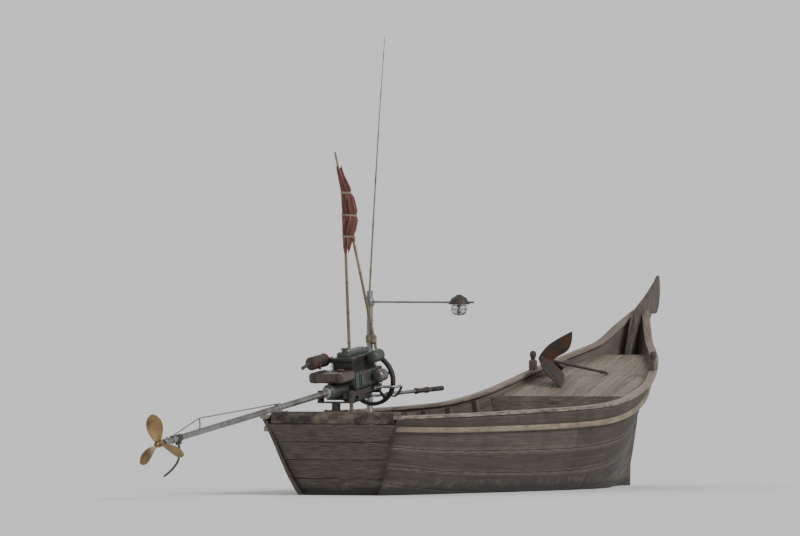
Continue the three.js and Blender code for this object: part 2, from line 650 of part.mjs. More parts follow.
function addLampBoom() {
  const { z, reach, radius, collar, collarHalf, lamp } = BOOM;
  const { x, y } = STANCHION;
  const hole = STANCHION.radius + 1;
  const ring = turnedZ([
    [hole, z - collarHalf], [collar, z - collarHalf], [collar, z + collarHalf], [hole, z + collarHalf],
  ]);
  const arm = rod([0, -30, z], [0, -reach, z], radius, radius, 10);
  place(boat, 'lamp_boom', fuse(ring, arm).translate([x, y, 0]), STEEL);
  const around = rod([0, -30, z], [0, -reach - 20, z], radius + CLEAR + 0.2, radius + CLEAR + 0.2, 10);
  const cap = turnedZ([[0, 1492], [85, 1492], [82, 1506], [60, 1545], [24, 1570], [0, 1572]]);
  place(boat, 'lamp_cap', cut(cap.translate(0, -lamp, 0), around).translate([x, y, 0]), IRON);
  const jar = turnedZ([[0, 1408], [36, 1412], [58, 1440], [60, 1470], [46, 1492 - CLEAR], [0, 1492 - CLEAR]]);
  place(boat, 'lamp_glass', jar.translate(x, y - lamp, 0), GLASS);
  const stop = turnedZ([
    [hole, z - 34], [collar - 2, z - 34], [collar - 2, z - collarHalf - CLEAR], [hole, z - collarHalf - CLEAR],
  ]);
  place(boat, 'boom_stop_ring', stop.translate(x, y, 0), STEEL);
}

// Three-armed anchor of steel plate, stowed on the foredeck on two of its arms and its ring.
function addAnchor() {
  const { x, y, heading, dip, shank, arm, plate, ring } = ANCHOR;
  const rise = (FOREDECK.foreZ - FOREDECK.aftZ) / (FOREDECK.fore - FOREDECK.aft);
  const arms = [0, 120, 240].map((turn) => sideProfile(arm, -plate / 2, plate / 2).rotateX(turn * RAD));
  const anchor = fuse(
    rod([-20, 0, 0], [shank, 0, 0], 12, 10, 8),
    new THREE.SphereGeometry(26, 8, 6),
    new THREE.TorusGeometry(ring, 6, 6, 12).translate(shank + ring - 6, 0, 0),
    ...arms,
  );
  const laid = toGeometry(anchor).rotateY(dip * RAD);
  laid.computeBoundingBox();
  laid.translate(0, 0, CLEAR - laid.boundingBox.min.z);
  const deck = new THREE.Group();
  deck.position.set(x, y, FOREDECK.aftZ + (x - FOREDECK.aft) * rise);
  deck.rotation.y = -Math.atan(rise);
  const turned = new THREE.Group();
  turned.rotation.z = heading * RAD;
  deck.add(turned);
  boat.add(deck);
  place(turned, 'anchor', laid, IRON);
}

// Engine and tail. The swivel group turns about the pin, and the tilt group about the trunnions.

const swivel = new THREE.Group();
swivel.position.set(PIVOT_X, 0, 0);
swivel.rotation.z = REST_YAW * RAD;
boat.add(swivel);

const tilt = new THREE.Group();
tilt.position.set(0, 0, PITCH_Z);
tilt.rotation.y = -SHAFT_SLOPE * RAD;
swivel.add(tilt);

// The crank group's x axis is the shaft's axis.
const crank = new THREE.Group();
crank.position.set(0, 0, SHAFT_RISE);
tilt.add(crank);

// From r forward of the pin and z above water to the crank group's x and z.
function onShaft(r, z) {
  const [c, s] = [Math.cos(SHAFT_SLOPE * RAD), Math.sin(SHAFT_SLOPE * RAD)];
  return [r * c + (z - PITCH_Z) * s, (z - PITCH_Z) * c - r * s - SHAFT_RISE];
}

function addYoke() {
  const low = SOCKET.top + CLEAR;
  const base = low + YOKE.base;
  const pieces = [
    rod([0, 0, BEAM.high + 8], [0, 0, low + 4], YOKE.pin, YOKE.pin, 16),
    box(-YOKE.half, YOKE.half, -YOKE.outer, YOKE.outer, low, base),
    box(-YOKE.half + 8, YOKE.half - 8, YOKE.inner, YOKE.outer, base - 2, YOKE.top),
    box(-YOKE.half + 8, YOKE.half - 8, -YOKE.outer, -YOKE.inner, base - 2, YOKE.top),
  ];
  const bore = rod([0, -200, PITCH_Z], [0, 200, PITCH_Z], YOKE.bore, YOKE.bore, 16);
  place(swivel, 'swivel_yoke', cut(fuse(...pieces), bore), IRON);
}

function addCradle() {
  const { inner, outer, aft, fore, low, high } = CRADLE;
  const pieces = [
    box(aft, fore, inner, outer, low, high),
    box(aft, fore, -outer, -inner, low, high),
  ];
  for (const [x0, x1, top] of [[55, 95, -62.4], [140, 180, low + 1], [460, 500, low + 1]]) {
    pieces.push(box(x0, x1, -outer, outer, -88, top));
    pieces.push(box(x0, x1, inner, outer, -88, low + 2));
    pieces.push(box(x0, x1, -outer, -inner, -88, low + 2));
  }
  for (const side of [1, -1]) {
    pieces.push(rod([0, side * (outer - 6), -SHAFT_RISE], [0, side * (YOKE.outer + 4), -SHAFT_RISE], 12, 12, 16));
  }
  place(crank, 'engine_cradle', fuse(...pieces), IRON);
}

function addEngine() {
  const { aft, fore, half, shoulder, step, mid, top } = BLOCK;
  const floor = CRADLE.low + 1 + CLEAR;
  const bore = rod([aft - 20, 0, 0], [fore + 40, 0, 0], 16, 16, 12);
  const crankcase = fuse(
    box(aft, fore, -half, half, floor, step + 4),
    box(aft, fore, -shoulder, shoulder, CRADLE.high + CLEAR + 4, mid),
    box(aft + 100, fore - 80, -70, 70, -125, floor + 3),
    turnedX([[0, fore - 5], [48, fore - 5], [44, fore + 14], [0, fore + 14]]),
  );
  place(crank, 'crankcase', cut(crankcase, bore), IRON);
  const barrels = [];
  barrels.push(box(aft + 20, fore - 30, -92, 92, mid + CLEAR, top));
  for (const z of [mid + 18, mid + 42, mid + 66]) {
    barrels.push(box(aft + 12, fore - 22, -100, 100, z, z + 7));
  }
  place(crank, 'cylinder_block', fuse(...barrels), IRON);
  const head = fuse(
    box(aft + 10, fore - 20, -104, 104, top + CLEAR, top + 34),
    box(aft + 40, fore - 50, -58, 58, top + 30, top + 72),
    rod([aft + 80, 0, top + 70], [aft + 80, 0, top + 104], 26, 24, 12),
  );
  place(crank, 'cylinder_head', head, IRON);
  place(crank, 'air_cleaner', makeAirCleaner(top), IRON);
  place(crank, 'muffler', makeMuffler(top), IRON);
  place(crank, 'alternator', makeAlternator(), STEEL);
  place(crank, 'fuel_tank', makeTank(), IRON);
}

// The tank over the coupling, with its bracket against the crankcase and its filler cap.
function makeTank() {
  const { aft, fore, port, starboard, low, high, round } = TANK;
  const shell = sideProfile(roundedOutline(aft, fore, low, high, round), starboard, port);
  const bracket = box(fore - 10, BLOCK.aft - CLEAR, -60, 60, low + 12, low + 44);
  const filler = rod([-20, -70, high - 5], [-20, -70, high + 20], 24, 24, 16);
  return fuse(shell, bracket, filler);
}

function makeAirCleaner(top) {
  const y = -160;
  const pot = turnedX([[0, 300], [42, 300], [50, 312], [50, 428], [42, 440], [0, 440]], 14);
  const neck = rod([360, -104 - CLEAR, top + 14], [360, y, top + 14], 18, 18, 10);
  return fuse(pot.translate(0, y - 8, top + 14), neck);
}

function makeMuffler(top) {
  const y = 176;
  const drum = turnedX([[0, -70], [30, -70], [52, -55], [52, 150], [30, 166], [0, 166]], 14);
  const inlet = rod([140, 104 + CLEAR, top + 15], [140, y, top + 15], 17, 17, 10);
  const outlet = pipe([[-60, y, top + 12], [-110, y, top + 12], [-165, y + 20, top - 10]], 14, 6, 8);
  return fuse(drum.translate(0, y, top + 12), inlet, outlet);
}

function makeAlternator() {
  const body = turnedX([[0, 340], [42, 340], [48, 350], [48, 440], [42, 450], [0, 450]], 14);
  const bracket = box(370, 420, -160, -132 - CLEAR, 20, 90);
  return fuse(body.translate(0, -184, 60), bracket);
}

function addCouplingAndTail() {
  const bell = turnedX([
    [20, -135], [50, -135], [62, -105], [62, BLOCK.aft - CLEAR], [48, BLOCK.aft - CLEAR], [48, -100], [20, -120],
  ]);
  place(crank, 'coupling_housing', bell, IRON);
  const bush = SHAFT.radius + 0.4;
  const { radius, bore, aft, fore } = TUBE;
  const tube = turnedX([
    [bush, aft], [radius + 4, aft], [radius + 4, aft + 90], [radius, aft + 90], [radius, fore - 14],
    [42, fore - 12], [42, fore], [bore, fore], [bore, aft + 60], [bush, aft + 60],
  ]);
  place(crank, 'tail_tube', tube, STEEL);
  place(crank, 'tail_stay', makeTailStay(), STEEL);
  place(crank, 'skeg', makeSkeg(), IRON);
}

function makeTailStay() {
  const start = [-900, 0, TUBE.radius + 3];
  const peak = [-2100, 0, 104];
  const end = [-2520, 0, TUBE.radius + 3];
  const pieces = [
    rod(start, peak, 5, 5, 6),
    rod(peak, end, 5, 5, 6),
    rod([-2100, 0, 15], [-2100, 0, 108], 7, 7, 8),
    box(-930, -870, -14, 14, 10, TUBE.radius + 8),
    box(-2545, -2495, -14, 14, 10, TUBE.radius + 8),
  ];
  const around = rod([-3000, 0, 0], [-100, 0, 0], TUBE.radius + 0.6, TUBE.radius + 0.6, 16);
  return largest(cut(fuse(...pieces), around));
}

function makeSkeg() {
  const path = [[-2440, 0, -20], [-2438, 0, -110], [-2470, 0, -175], [-2570, 0, -228], [-2700, 0, -262]];
  const blade = fuse(pipe(path, 9, 10, 6), box(-2475, -2405, -10, 10, -50, -18));
  const around = rod([-3000, 0, 0], [-100, 0, 0], TUBE.radius + 0.6, TUBE.radius + 0.6, 16);
  return largest(cut(blade, around));
}

// Tiller with the loop that carries it round the flywheel.
function addTiller() {
  const [aftX, aftZ] = onShaft(TILLER.aft, TILLER.aftZ);
  const [endX, endZ] = onShaft(TILLER.end, TILLER.endZ);
  const side = -110;
  const loop = (sign) => pipe([
    [CRADLE.fore - 120, sign * 132, -40], [CRADLE.fore - 60, sign * 155, -42],
    [CRADLE.fore - 5, sign * 236, -50], [CRADLE.fore + 85, sign * 244, -62],
    [aftX - 60, sign * 110, aftZ], [aftX + 10, 0, aftZ],
  ], 11, 10, 7);
  const lug = (sign) => box(CRADLE.fore - 150, CRADLE.fore - 90, sign * 130 - 9.4, sign * 130 + 9.4, -55, -25);
  const bar = rod([aftX - 5, 0, aftZ], [endX, 0, endZ], TILLER.radius, TILLER.radius, 12);
  place(crank, 'tiller', fuse(loop(1), loop(-1), lug(1), lug(-1), bar), STEEL);
  const along = (r) => {
    const share = (r - TILLER.aft) / (TILLER.end - TILLER.aft);
    return [aftX + share * (endX - aftX), 0, aftZ + share * (endZ - aftZ)];
  };
  const core = rod(along(1100), along(1800), TILLER.radius + 0.8, TILLER.radius + 0.8, 12);
  const throttle = fuse(
    rod(along(1240), along(1440), 25, 22, 12),
    rod(along(1400), [along(1440)[0] + 60, side * 0.4, along(1440)[2] + 10], 5, 5, 6),
  );
  place(crank, 'throttle', cut(throttle, core), IRON);
  place(crank, 'tiller_grip', cut(rod(along(1490), along(1664), 20, 20, 12), core), RUBBER);
}

function addDrive() {
  place(crank, 'drive_shaft', rod([SHAFT.aft, 0, 0], [SHAFT.fore, 0, 0], SHAFT.radius, SHAFT.radius, 12), STEEL);
  place(crank, 'flywheel', makeFlywheel(), IRON);
  place(crank, 'propeller', makePropeller(), BRONZE);
}

function makeFlywheel() {
  const { aft, fore, radius, rim, hub, spokes } = FLYWHEEL;
  const middle = (aft + fore) / 2;
  const pieces = [
    turnedX([[radius - rim, aft], [radius, aft], [radius, fore], [radius - rim, fore]], 28),
    turnedX([[0, aft - 6], [hub, aft - 6], [hub, fore + 6], [0, fore + 6]], 16),
  ];
  for (let i = 0; i < spokes; i += 1) {
    const angle = (90 + (i * 360) / spokes) * RAD;
    const [c, s] = [Math.cos(angle), Math.sin(angle)];
    const end = radius - rim / 2;
    pieces.push(rod([middle, 20 * c, 20 * s], [middle, end * c, end * s], 13, 11, 6));
  }
  const bore = rod([aft - 60, 0, 0], [fore + 60, 0, 0], SHAFT.radius + 0.5, SHAFT.radius + 0.5, 12);
  return cut(fuse(...pieces), bore);
}

function makePropeller() {
  const { x, hub, half, radius, blades, first } = PROP;
  const boss = turnedX([[0, x - half - 16], [14, x - half - 12], [hub - 5, x - half], [hub, x - 5],
    [hub, x + half], [0, x + half]], 16);
  const pieces = [boss];
  for (let i = 0; i < blades; i += 1) {
    pieces.push(makeBlade(x, radius, first + (i * 360) / blades));
  }
  const core = rod([SHAFT.aft - CLEAR, 0, 0], [x + half + 40, 0, 0], SHAFT.radius + 0.5, SHAFT.radius + 0.5, 12);
  return cut(fuse(...pieces), core);
}

// One twisted blade at an angle about the shaft, counted from port towards up.
function makeBlade(x, radius, angle) {
  // distance from the shaft, chord, thickness, twist
  const cuts = [[18, 56, 10, 62], [60, 94, 9, 51], [114, 126, 8, 41], [168, 124, 7, 33], [210, 86, 6, 29],
    [radius, 32, 5, 27]];
  const edge = 1.8;
  const spin = new THREE.Matrix4().makeRotationX(angle * RAD);
  const rings = cuts.map(([distance, chord, thick, twist]) => {
    const [c, s] = [Math.cos(twist * RAD), Math.sin(twist * RAD)];
    const corners = [[-chord / 2, -edge], [-chord / 2, edge], [0, thick / 2], [chord / 2, edge],
      [chord / 2, -edge], [0, -thick / 2]];
    return corners.map(([along, off]) => {
      const point = new THREE.Vector3(x + along * s + off * c, distance, along * c - off * s);
      return point.applyMatrix4(spin);
    });
  });
  return loft(rings);
}

addPlanking();
addKeelAndStem();
addTransom();
addRails();
addInside();
addSternBeam();
addBowPosts();
addPoles();
addLampBoom();
addAnchor();
addYoke();
addCradle();
addEngine();
addCouplingAndTail();
addTiller();
addDrive();

export default boat;
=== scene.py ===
import math

import bmesh
import bpy
import numpy as np
from mathutils import Matrix, Vector, noise
from mathutils.geometry import tessellate_polygon


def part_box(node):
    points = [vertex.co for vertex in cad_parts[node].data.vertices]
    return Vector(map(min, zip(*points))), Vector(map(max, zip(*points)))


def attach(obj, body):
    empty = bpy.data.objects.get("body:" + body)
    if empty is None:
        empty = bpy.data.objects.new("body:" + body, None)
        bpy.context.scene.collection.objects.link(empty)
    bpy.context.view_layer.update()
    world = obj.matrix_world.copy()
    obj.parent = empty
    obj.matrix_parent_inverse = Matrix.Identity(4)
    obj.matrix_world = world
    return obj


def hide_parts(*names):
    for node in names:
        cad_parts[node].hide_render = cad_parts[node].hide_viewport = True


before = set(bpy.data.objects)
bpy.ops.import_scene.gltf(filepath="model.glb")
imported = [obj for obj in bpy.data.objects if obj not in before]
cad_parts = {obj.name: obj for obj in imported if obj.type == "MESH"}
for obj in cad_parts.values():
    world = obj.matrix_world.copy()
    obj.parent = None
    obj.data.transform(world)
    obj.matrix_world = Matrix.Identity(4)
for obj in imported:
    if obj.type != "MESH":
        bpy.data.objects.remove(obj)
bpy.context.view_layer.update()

# Camera and light

CAMERA = (-145.0, -67.6, 2.63)
AIM = (-0.31, 0.667, 1.776)
LENS = 900
FLOOR_RADII = (5, 9, 20, 80, 400, 2000, 9000)
FLOOR_TONE = 0.75
SKY_LOW = (0.8, 0.8, 0.8)
SKY_HIGH = (0.45, 0.45, 0.45)
LIGHTS = [("key", (-3.5, -9, 7), 2.2, 22), ("rim", (7, 7, 6), 0.68, 40)]


def new_object(name, data):
    made = bpy.data.objects.new(name, data)
    bpy.context.scene.collection.objects.link(made)
    return made


def aim(thing, place, line):
    """Sets an object at a place and turns it to look along a line."""
    thing.location = place
    thing.rotation_mode = "QUATERNION"
    thing.rotation_quaternion = line.to_track_quat("-Z", "Y")


def add_camera():
    data = bpy.data.cameras.new("camera")
    data.lens = LENS
    data.clip_start = 1
    data.clip_end = 20000
    camera = new_object("camera", data)
    aim(camera, CAMERA, Vector(AIM) - Vector(CAMERA))
    bpy.context.scene.camera = camera


add_camera()

# Hull stations, as in the solids: sheer x, half breadth, gunwale top, keel x, keel z,
# low out, low up, high out, high up
STATIONS = np.array([
    [-3.0, 0.6, 0.63, -2.72, -0.2, 0.72, 0.02, 0.72, 0.55],
    [-2.5, 0.655, 0.635, -2.39, -0.222, 0.68, 0.03, 0.85, 0.47],
    [-2.0, 0.692, 0.64, -1.97, -0.242, 0.65, 0.04, 0.93, 0.42],
    [-1.0, 0.742, 0.655, -1.0, -0.28, 0.63, 0.05, 0.967, 0.39],
    [0.0, 0.76, 0.672, 0.0, -0.3, 0.63, 0.05, 0.967, 0.39],
    [0.7, 0.745, 0.7, 0.7, -0.29, 0.63, 0.05, 0.93, 0.41],
    [1.2, 0.705, 0.76, 1.2, -0.275, 0.62, 0.05, 0.84, 0.47],
    [1.6, 0.645, 0.845, 1.58, -0.252, 0.58, 0.05, 0.68, 0.58],
    [1.9, 0.565, 0.935, 1.85, -0.226, 0.5, 0.05, 0.5, 0.7],
    [2.2, 0.445, 1.035, 2.08, -0.19, 0.4, 0.05, 0.42, 0.72],
    [2.4, 0.33, 1.11, 2.24, -0.16, 0.36, 0.06, 0.38, 0.72],
    [2.55, 0.235, 1.175, 2.35, -0.125, 0.36, 0.08, 0.4, 0.7],
    [2.7, 0.15, 1.3, 2.43, -0.08, 0.45, 0.12, 0.5, 0.68],
    [2.86, 0.062, 1.42, 2.5, -0.03, 0.9, 0.1, 0.95, 0.6],
])
SIDES = ((1, "port"), (-1, "starboard"))
FORMS = 104
PLANK = 0.026
GUNWALE = {"thick": 0.03, "out": 0.016, "in": 0.054, "stem": 0.0304}
RAIL_T = 0.93
STEM_HALF = 0.03
STEM_OUTLINE = [
    (2.29, -0.196), (2.48, -0.15), (2.568, -0.078), (2.6, 0), (2.62, 0.28), (2.72, 0.54), (2.76, 0.65),
    (2.98, 1.33), (3.12, 1.395), (3.18, 1.5), (3.205, 1.6), (3.2, 1.7), (3.13, 1.64),
    (2.98, 1.535), (2.84, 1.455), (2.76, 1.4), (2.69, 1.29), (2.59, 1.0), (2.5, 0.4), (2.42, 0.02),
    (2.29, -0.12),
]
BOW_TIP = {"low": 1.46, "high": 1.7, "share": 0.42}
RIBS = {"first": -2.34, "step": 0.43, "count": 10, "half": 0.019, "gap": 0.0008, "deep": 0.044,
        "foot": 0.27, "head": 0.985, "fore_head": 0.9, "fore": 1.2, "corner": 0.004}
STRINGER = {"low": 0.405, "high": 0.435, "near": 0.038, "deep": 0.08}
STRINGER_LENGTHS = ((-2.6, -0.405), (-0.4047, 1.7))
FOREDECK = {"aft": 1.35, "aftZ": 0.7, "fore": 2.52, "foreZ": 1.062, "thick": 0.026, "coaming": 0.06,
            "lip": 0.736, "half": 0.62, "boards": 10}
DECK_RISE = (FOREDECK["foreZ"] - FOREDECK["aftZ"]) / (FOREDECK["fore"] - FOREDECK["aft"])
TRANSOM = {"thick": 0.036, "top": 0.56, "gap": 0.0014, "cleat": 0.36, "foot": 0.02, "head": 0.5}
THWARTS = (("thwart_aft", -1.15, 3), ("thwart_mid", -0.06, 2), ("thwart_forward", 0.9, 2))
STANCHION = {"x": -1.1, "y": 0.56, "radius": 0.025, "top": 1.6}
POLE_A = {"foot": (-1.3, 0.618, 0.4663), "top": (-1.3, 0.7, 2.45), "radius": 0.016}
POLE_B = {"foot": (-1.11, 0.499, 1.13), "top": (-1.4, 0.725, 2.705), "radius": 0.014}
BUNDLE = np.array([
    (-1.29, 0.672, 1.925, 0.016), (-1.283, 0.664, 1.998, 0.042), (-1.281, 0.645, 2.09, 0.052),
    (-1.28, 0.632, 2.185, 0.056), (-1.296, 0.642, 2.29, 0.051), (-1.318, 0.66, 2.393, 0.042),
    (-1.342, 0.68, 2.49, 0.026), (-1.36, 0.696, 2.569, 0.014),
])

# Engine and fittings are given in millimetres. The engine's own x runs along the crankshaft.
MM = 0.001
X, Y, Z, DOWN, STARBOARD = (1, 0, 0), (0, 1, 0), (0, 0, 1), (0, 0, -1), (0, -1, 0)
SLOPE = math.radians(8.2)
PITCH_Z = 0.79
SHAFT_RISE = 0.039
SWIVEL = Matrix.Translation((-2.9, 0, 0)) @ Matrix.Rotation(math.radians(-5), 4, "Z")
CRANK = (SWIVEL @ Matrix.Translation((0, 0, PITCH_Z)) @ Matrix.Rotation(-SLOPE, 4, "Y")
         @ Matrix.Translation((0, 0, SHAFT_RISE)))
MAST = Matrix.Translation((STANCHION["x"], STANCHION["y"], 0))
AFT, FORE, MID, TOP = 100, 520, 120, 205
TANK = {"aft": -118, "fore": 84, "port": 176, "starboard": -142, "low": 68, "high": 150}
BORE = 13
SPOKES = ((30, 30, 22), (60, 26, 19), (120, 22, 16), (165, 25, 18), (184, 34, 22))
PROP_X = -2740
BLADE = np.array([(18, 56, 10, 62), (60, 94, 9, 51), (114, 126, 8, 41), (168, 124, 7, 33), (210, 86, 6, 29),
                  (236, 32, 5, 27)])
TILLER = {"radius": 15, "aft": 0.8, "end": 1.668, "aftZ": 0.79, "endZ": 0.829}
BOOM_Z = 1510
LAMP_OUT = 785


# Curves and the hull's form

def catmull(points, at):
    """A smooth curve through points, at shares of its length from 0 to 1."""
    points = np.asarray(points, float)
    last = len(points) - 1
    place = np.clip(at, 0, 1) * last
    low = np.minimum(place.astype(int), last - 1)
    w = (place - low)[..., None]
    ends = np.vstack([2 * points[0] - points[1], points, 2 * points[-1] - points[-2]])
    p0, p1, p2, p3 = ends[low], ends[low + 1], ends[low + 2], ends[low + 3]
    bend = 2 * p0 - 5 * p1 + 4 * p2 - p3
    return p1 + 0.5 * ((p2 - p0) * w + bend * w ** 2 + (3 * p1 - p0 - 3 * p2 + p3) * w ** 3)


def curve(points, count):
    return catmull(points, np.linspace(0, 1, count))


def hull(share, t, depth=0.0, side=1):
    """Points of the planking's outer face, t from keel (0) to sheer (1), moved inward by depth."""
    share, t, depth = np.broadcast_arrays(np.asarray(share, float), np.asarray(t, float), depth)
    form = catmull(STATIONS, share)
    breadth, keel_x, keel_z = form[..., 1], form[..., 3], form[..., 4]
    top = form[..., 2] - GUNWALE["thick"]
    height = top - keel_z

    def bend(a, b):
        return 3 * (1 - t) ** 2 * t * a + 3 * (1 - t) * t ** 2 * b + t ** 3

    def slope(a, b):
        return 3 * (1 - t) ** 2 * a + 6 * (1 - t) * t * (b - a) + 3 * t ** 2 * (1 - b)

    dy = breadth * slope(form[..., 5], form[..., 7])
    dz = height * slope(form[..., 6], form[..., 8])
    length = np.hypot(dy, dz)
    x = keel_x + (form[..., 0] - keel_x) * t
    y = np.maximum(breadth * bend(form[..., 5], form[..., 7]) - dz / length * depth, 0)
    z = keel_z + height * bend(form[..., 6], form[..., 8]) + dy / length * depth
    return np.stack([x, side * y, np.minimum(z, top)], -1)


SHARES = np.linspace(0, 1, 1301)
SHEER = catmull(STATIONS, SHARES)[:, :3]
FINE = np.linspace(0.04, 1, 480)
RIB_PLACES = RIBS["first"] + RIBS["step"] * np.arange(RIBS["count"])
RAKE = (STATIONS[0, 0] - STATIONS[0, 3]) / (STATIONS[0, 2] - GUNWALE["thick"] - STATIONS[0, 4])


def share_of(x):
    return np.interp(x, SHEER[:, 0], SHARES)


def sheer_x(share):
    return np.interp(share, SHARES, SHEER[:, 0])


def wall(share, z, depth):
    """Half breadth at a height of one section, inside the outer face by depth."""
    line = hull(share, FINE, depth)
    return float(np.interp(z, line[:, 2], line[:, 1]))


def transom_x(z):
    """Where the transom's aft face lies at a height."""
    return STATIONS[0, 3] + (z - STATIONS[0, 4]) * RAKE


def deck_height(x):
    return FOREDECK["aftZ"] + (x - FOREDECK["aft"]) * DECK_RISE


def crossing(shares, depth, level):
    """Where the hull, moved in by depth, rises through level(x): x and half breadth."""
    found = []
    for share in shares:
        line = hull(share, FINE, depth)
        over = line[:, 2] - level(line[:, 0])
        if over[0] < 0 < over[-1]:
            at = np.interp(0, over, np.arange(len(over)))
            found.append([np.interp(at, np.arange(len(over)), line[:, k]) for k in (0, 1)])
    return np.array(found).T


def bar_section(shares, t, inner, deep, corner, side):
    """The outline of a bar that lies across the planks inside, with its two free edges cut off."""
    return [hull(shares[k], t, depth, side) for k, depth in (
        (0, inner), (3, inner), (3, deep - corner), (2, deep), (1, deep), (0, deep - corner))]


def circle(count, radius, start=0.0):
    """Points evenly round a circle, from an angle in radians."""
    turn = 2 * np.pi * np.arange(count) / count + start
    return radius * np.stack([np.cos(turn), np.sin(turn)], 1)


def rounded(wide, high, corner, steps=2):
    """A rectangle's outline with rounded corners, about its middle."""
    corner = min(corner, wide / 2 - 1e-5, high / 2 - 1e-5)
    points = []
    for x, y, start in ((1, 1, 0), (-1, 1, 90), (-1, -1, 180), (1, -1, 270)):
        for i in range(steps + 1):
            a = math.radians(start + 90 * i / steps)
            points.append((x * (wide / 2 - corner) + corner * math.cos(a),
                           y * (high / 2 - corner) + corner * math.sin(a)))
    return np.array(points)


def offset_outline(outline, inset):
    """The outline moved inward, each point along the mean of its two edges' normals."""
    outline = np.asarray(outline, float)
    ahead = np.roll(outline, -1, 0)
    edge = ahead - outline
    edge /= np.maximum(np.linalg.norm(edge, axis=1), 1e-9)[:, None]
    normal = np.stack([-edge[:, 1], edge[:, 0]], 1)
    area = np.sum(outline[:, 0] * ahead[:, 1] - ahead[:, 0] * outline[:, 1])
    mean = normal + np.roll(normal, 1, 0)
    mean /= np.maximum(np.sum(mean * np.roll(normal, 1, 0), 1), 0.5)[:, None]
    return outline + mean * inset * (1 if area > 0 else -1)


def rounding(corner, steps):
    """Steps round a corner: how far each lies in from the side and from the end."""
    turns = [math.radians(90 * i / steps) for i in range(steps + 1)]
    return [(corner * (1 - math.sin(t)), corner * (1 - math.cos(t))) for t in turns]


def grid(rows, columns, closed=True):
    """Faces of a grid of points, row after row. closed joins the last column to the first."""
    faces = []
    for i in range(rows - 1):
        for j in range(columns if closed else columns - 1):
            n = (j + 1) % columns
            faces.append((i * columns + j, i * columns + n, (i + 1) * columns + n, (i + 1) * columns + j))
    return faces


def without_doubles(face):
    return tuple(v for k, v in enumerate(face) if v != face[k - 1])


# Pieces

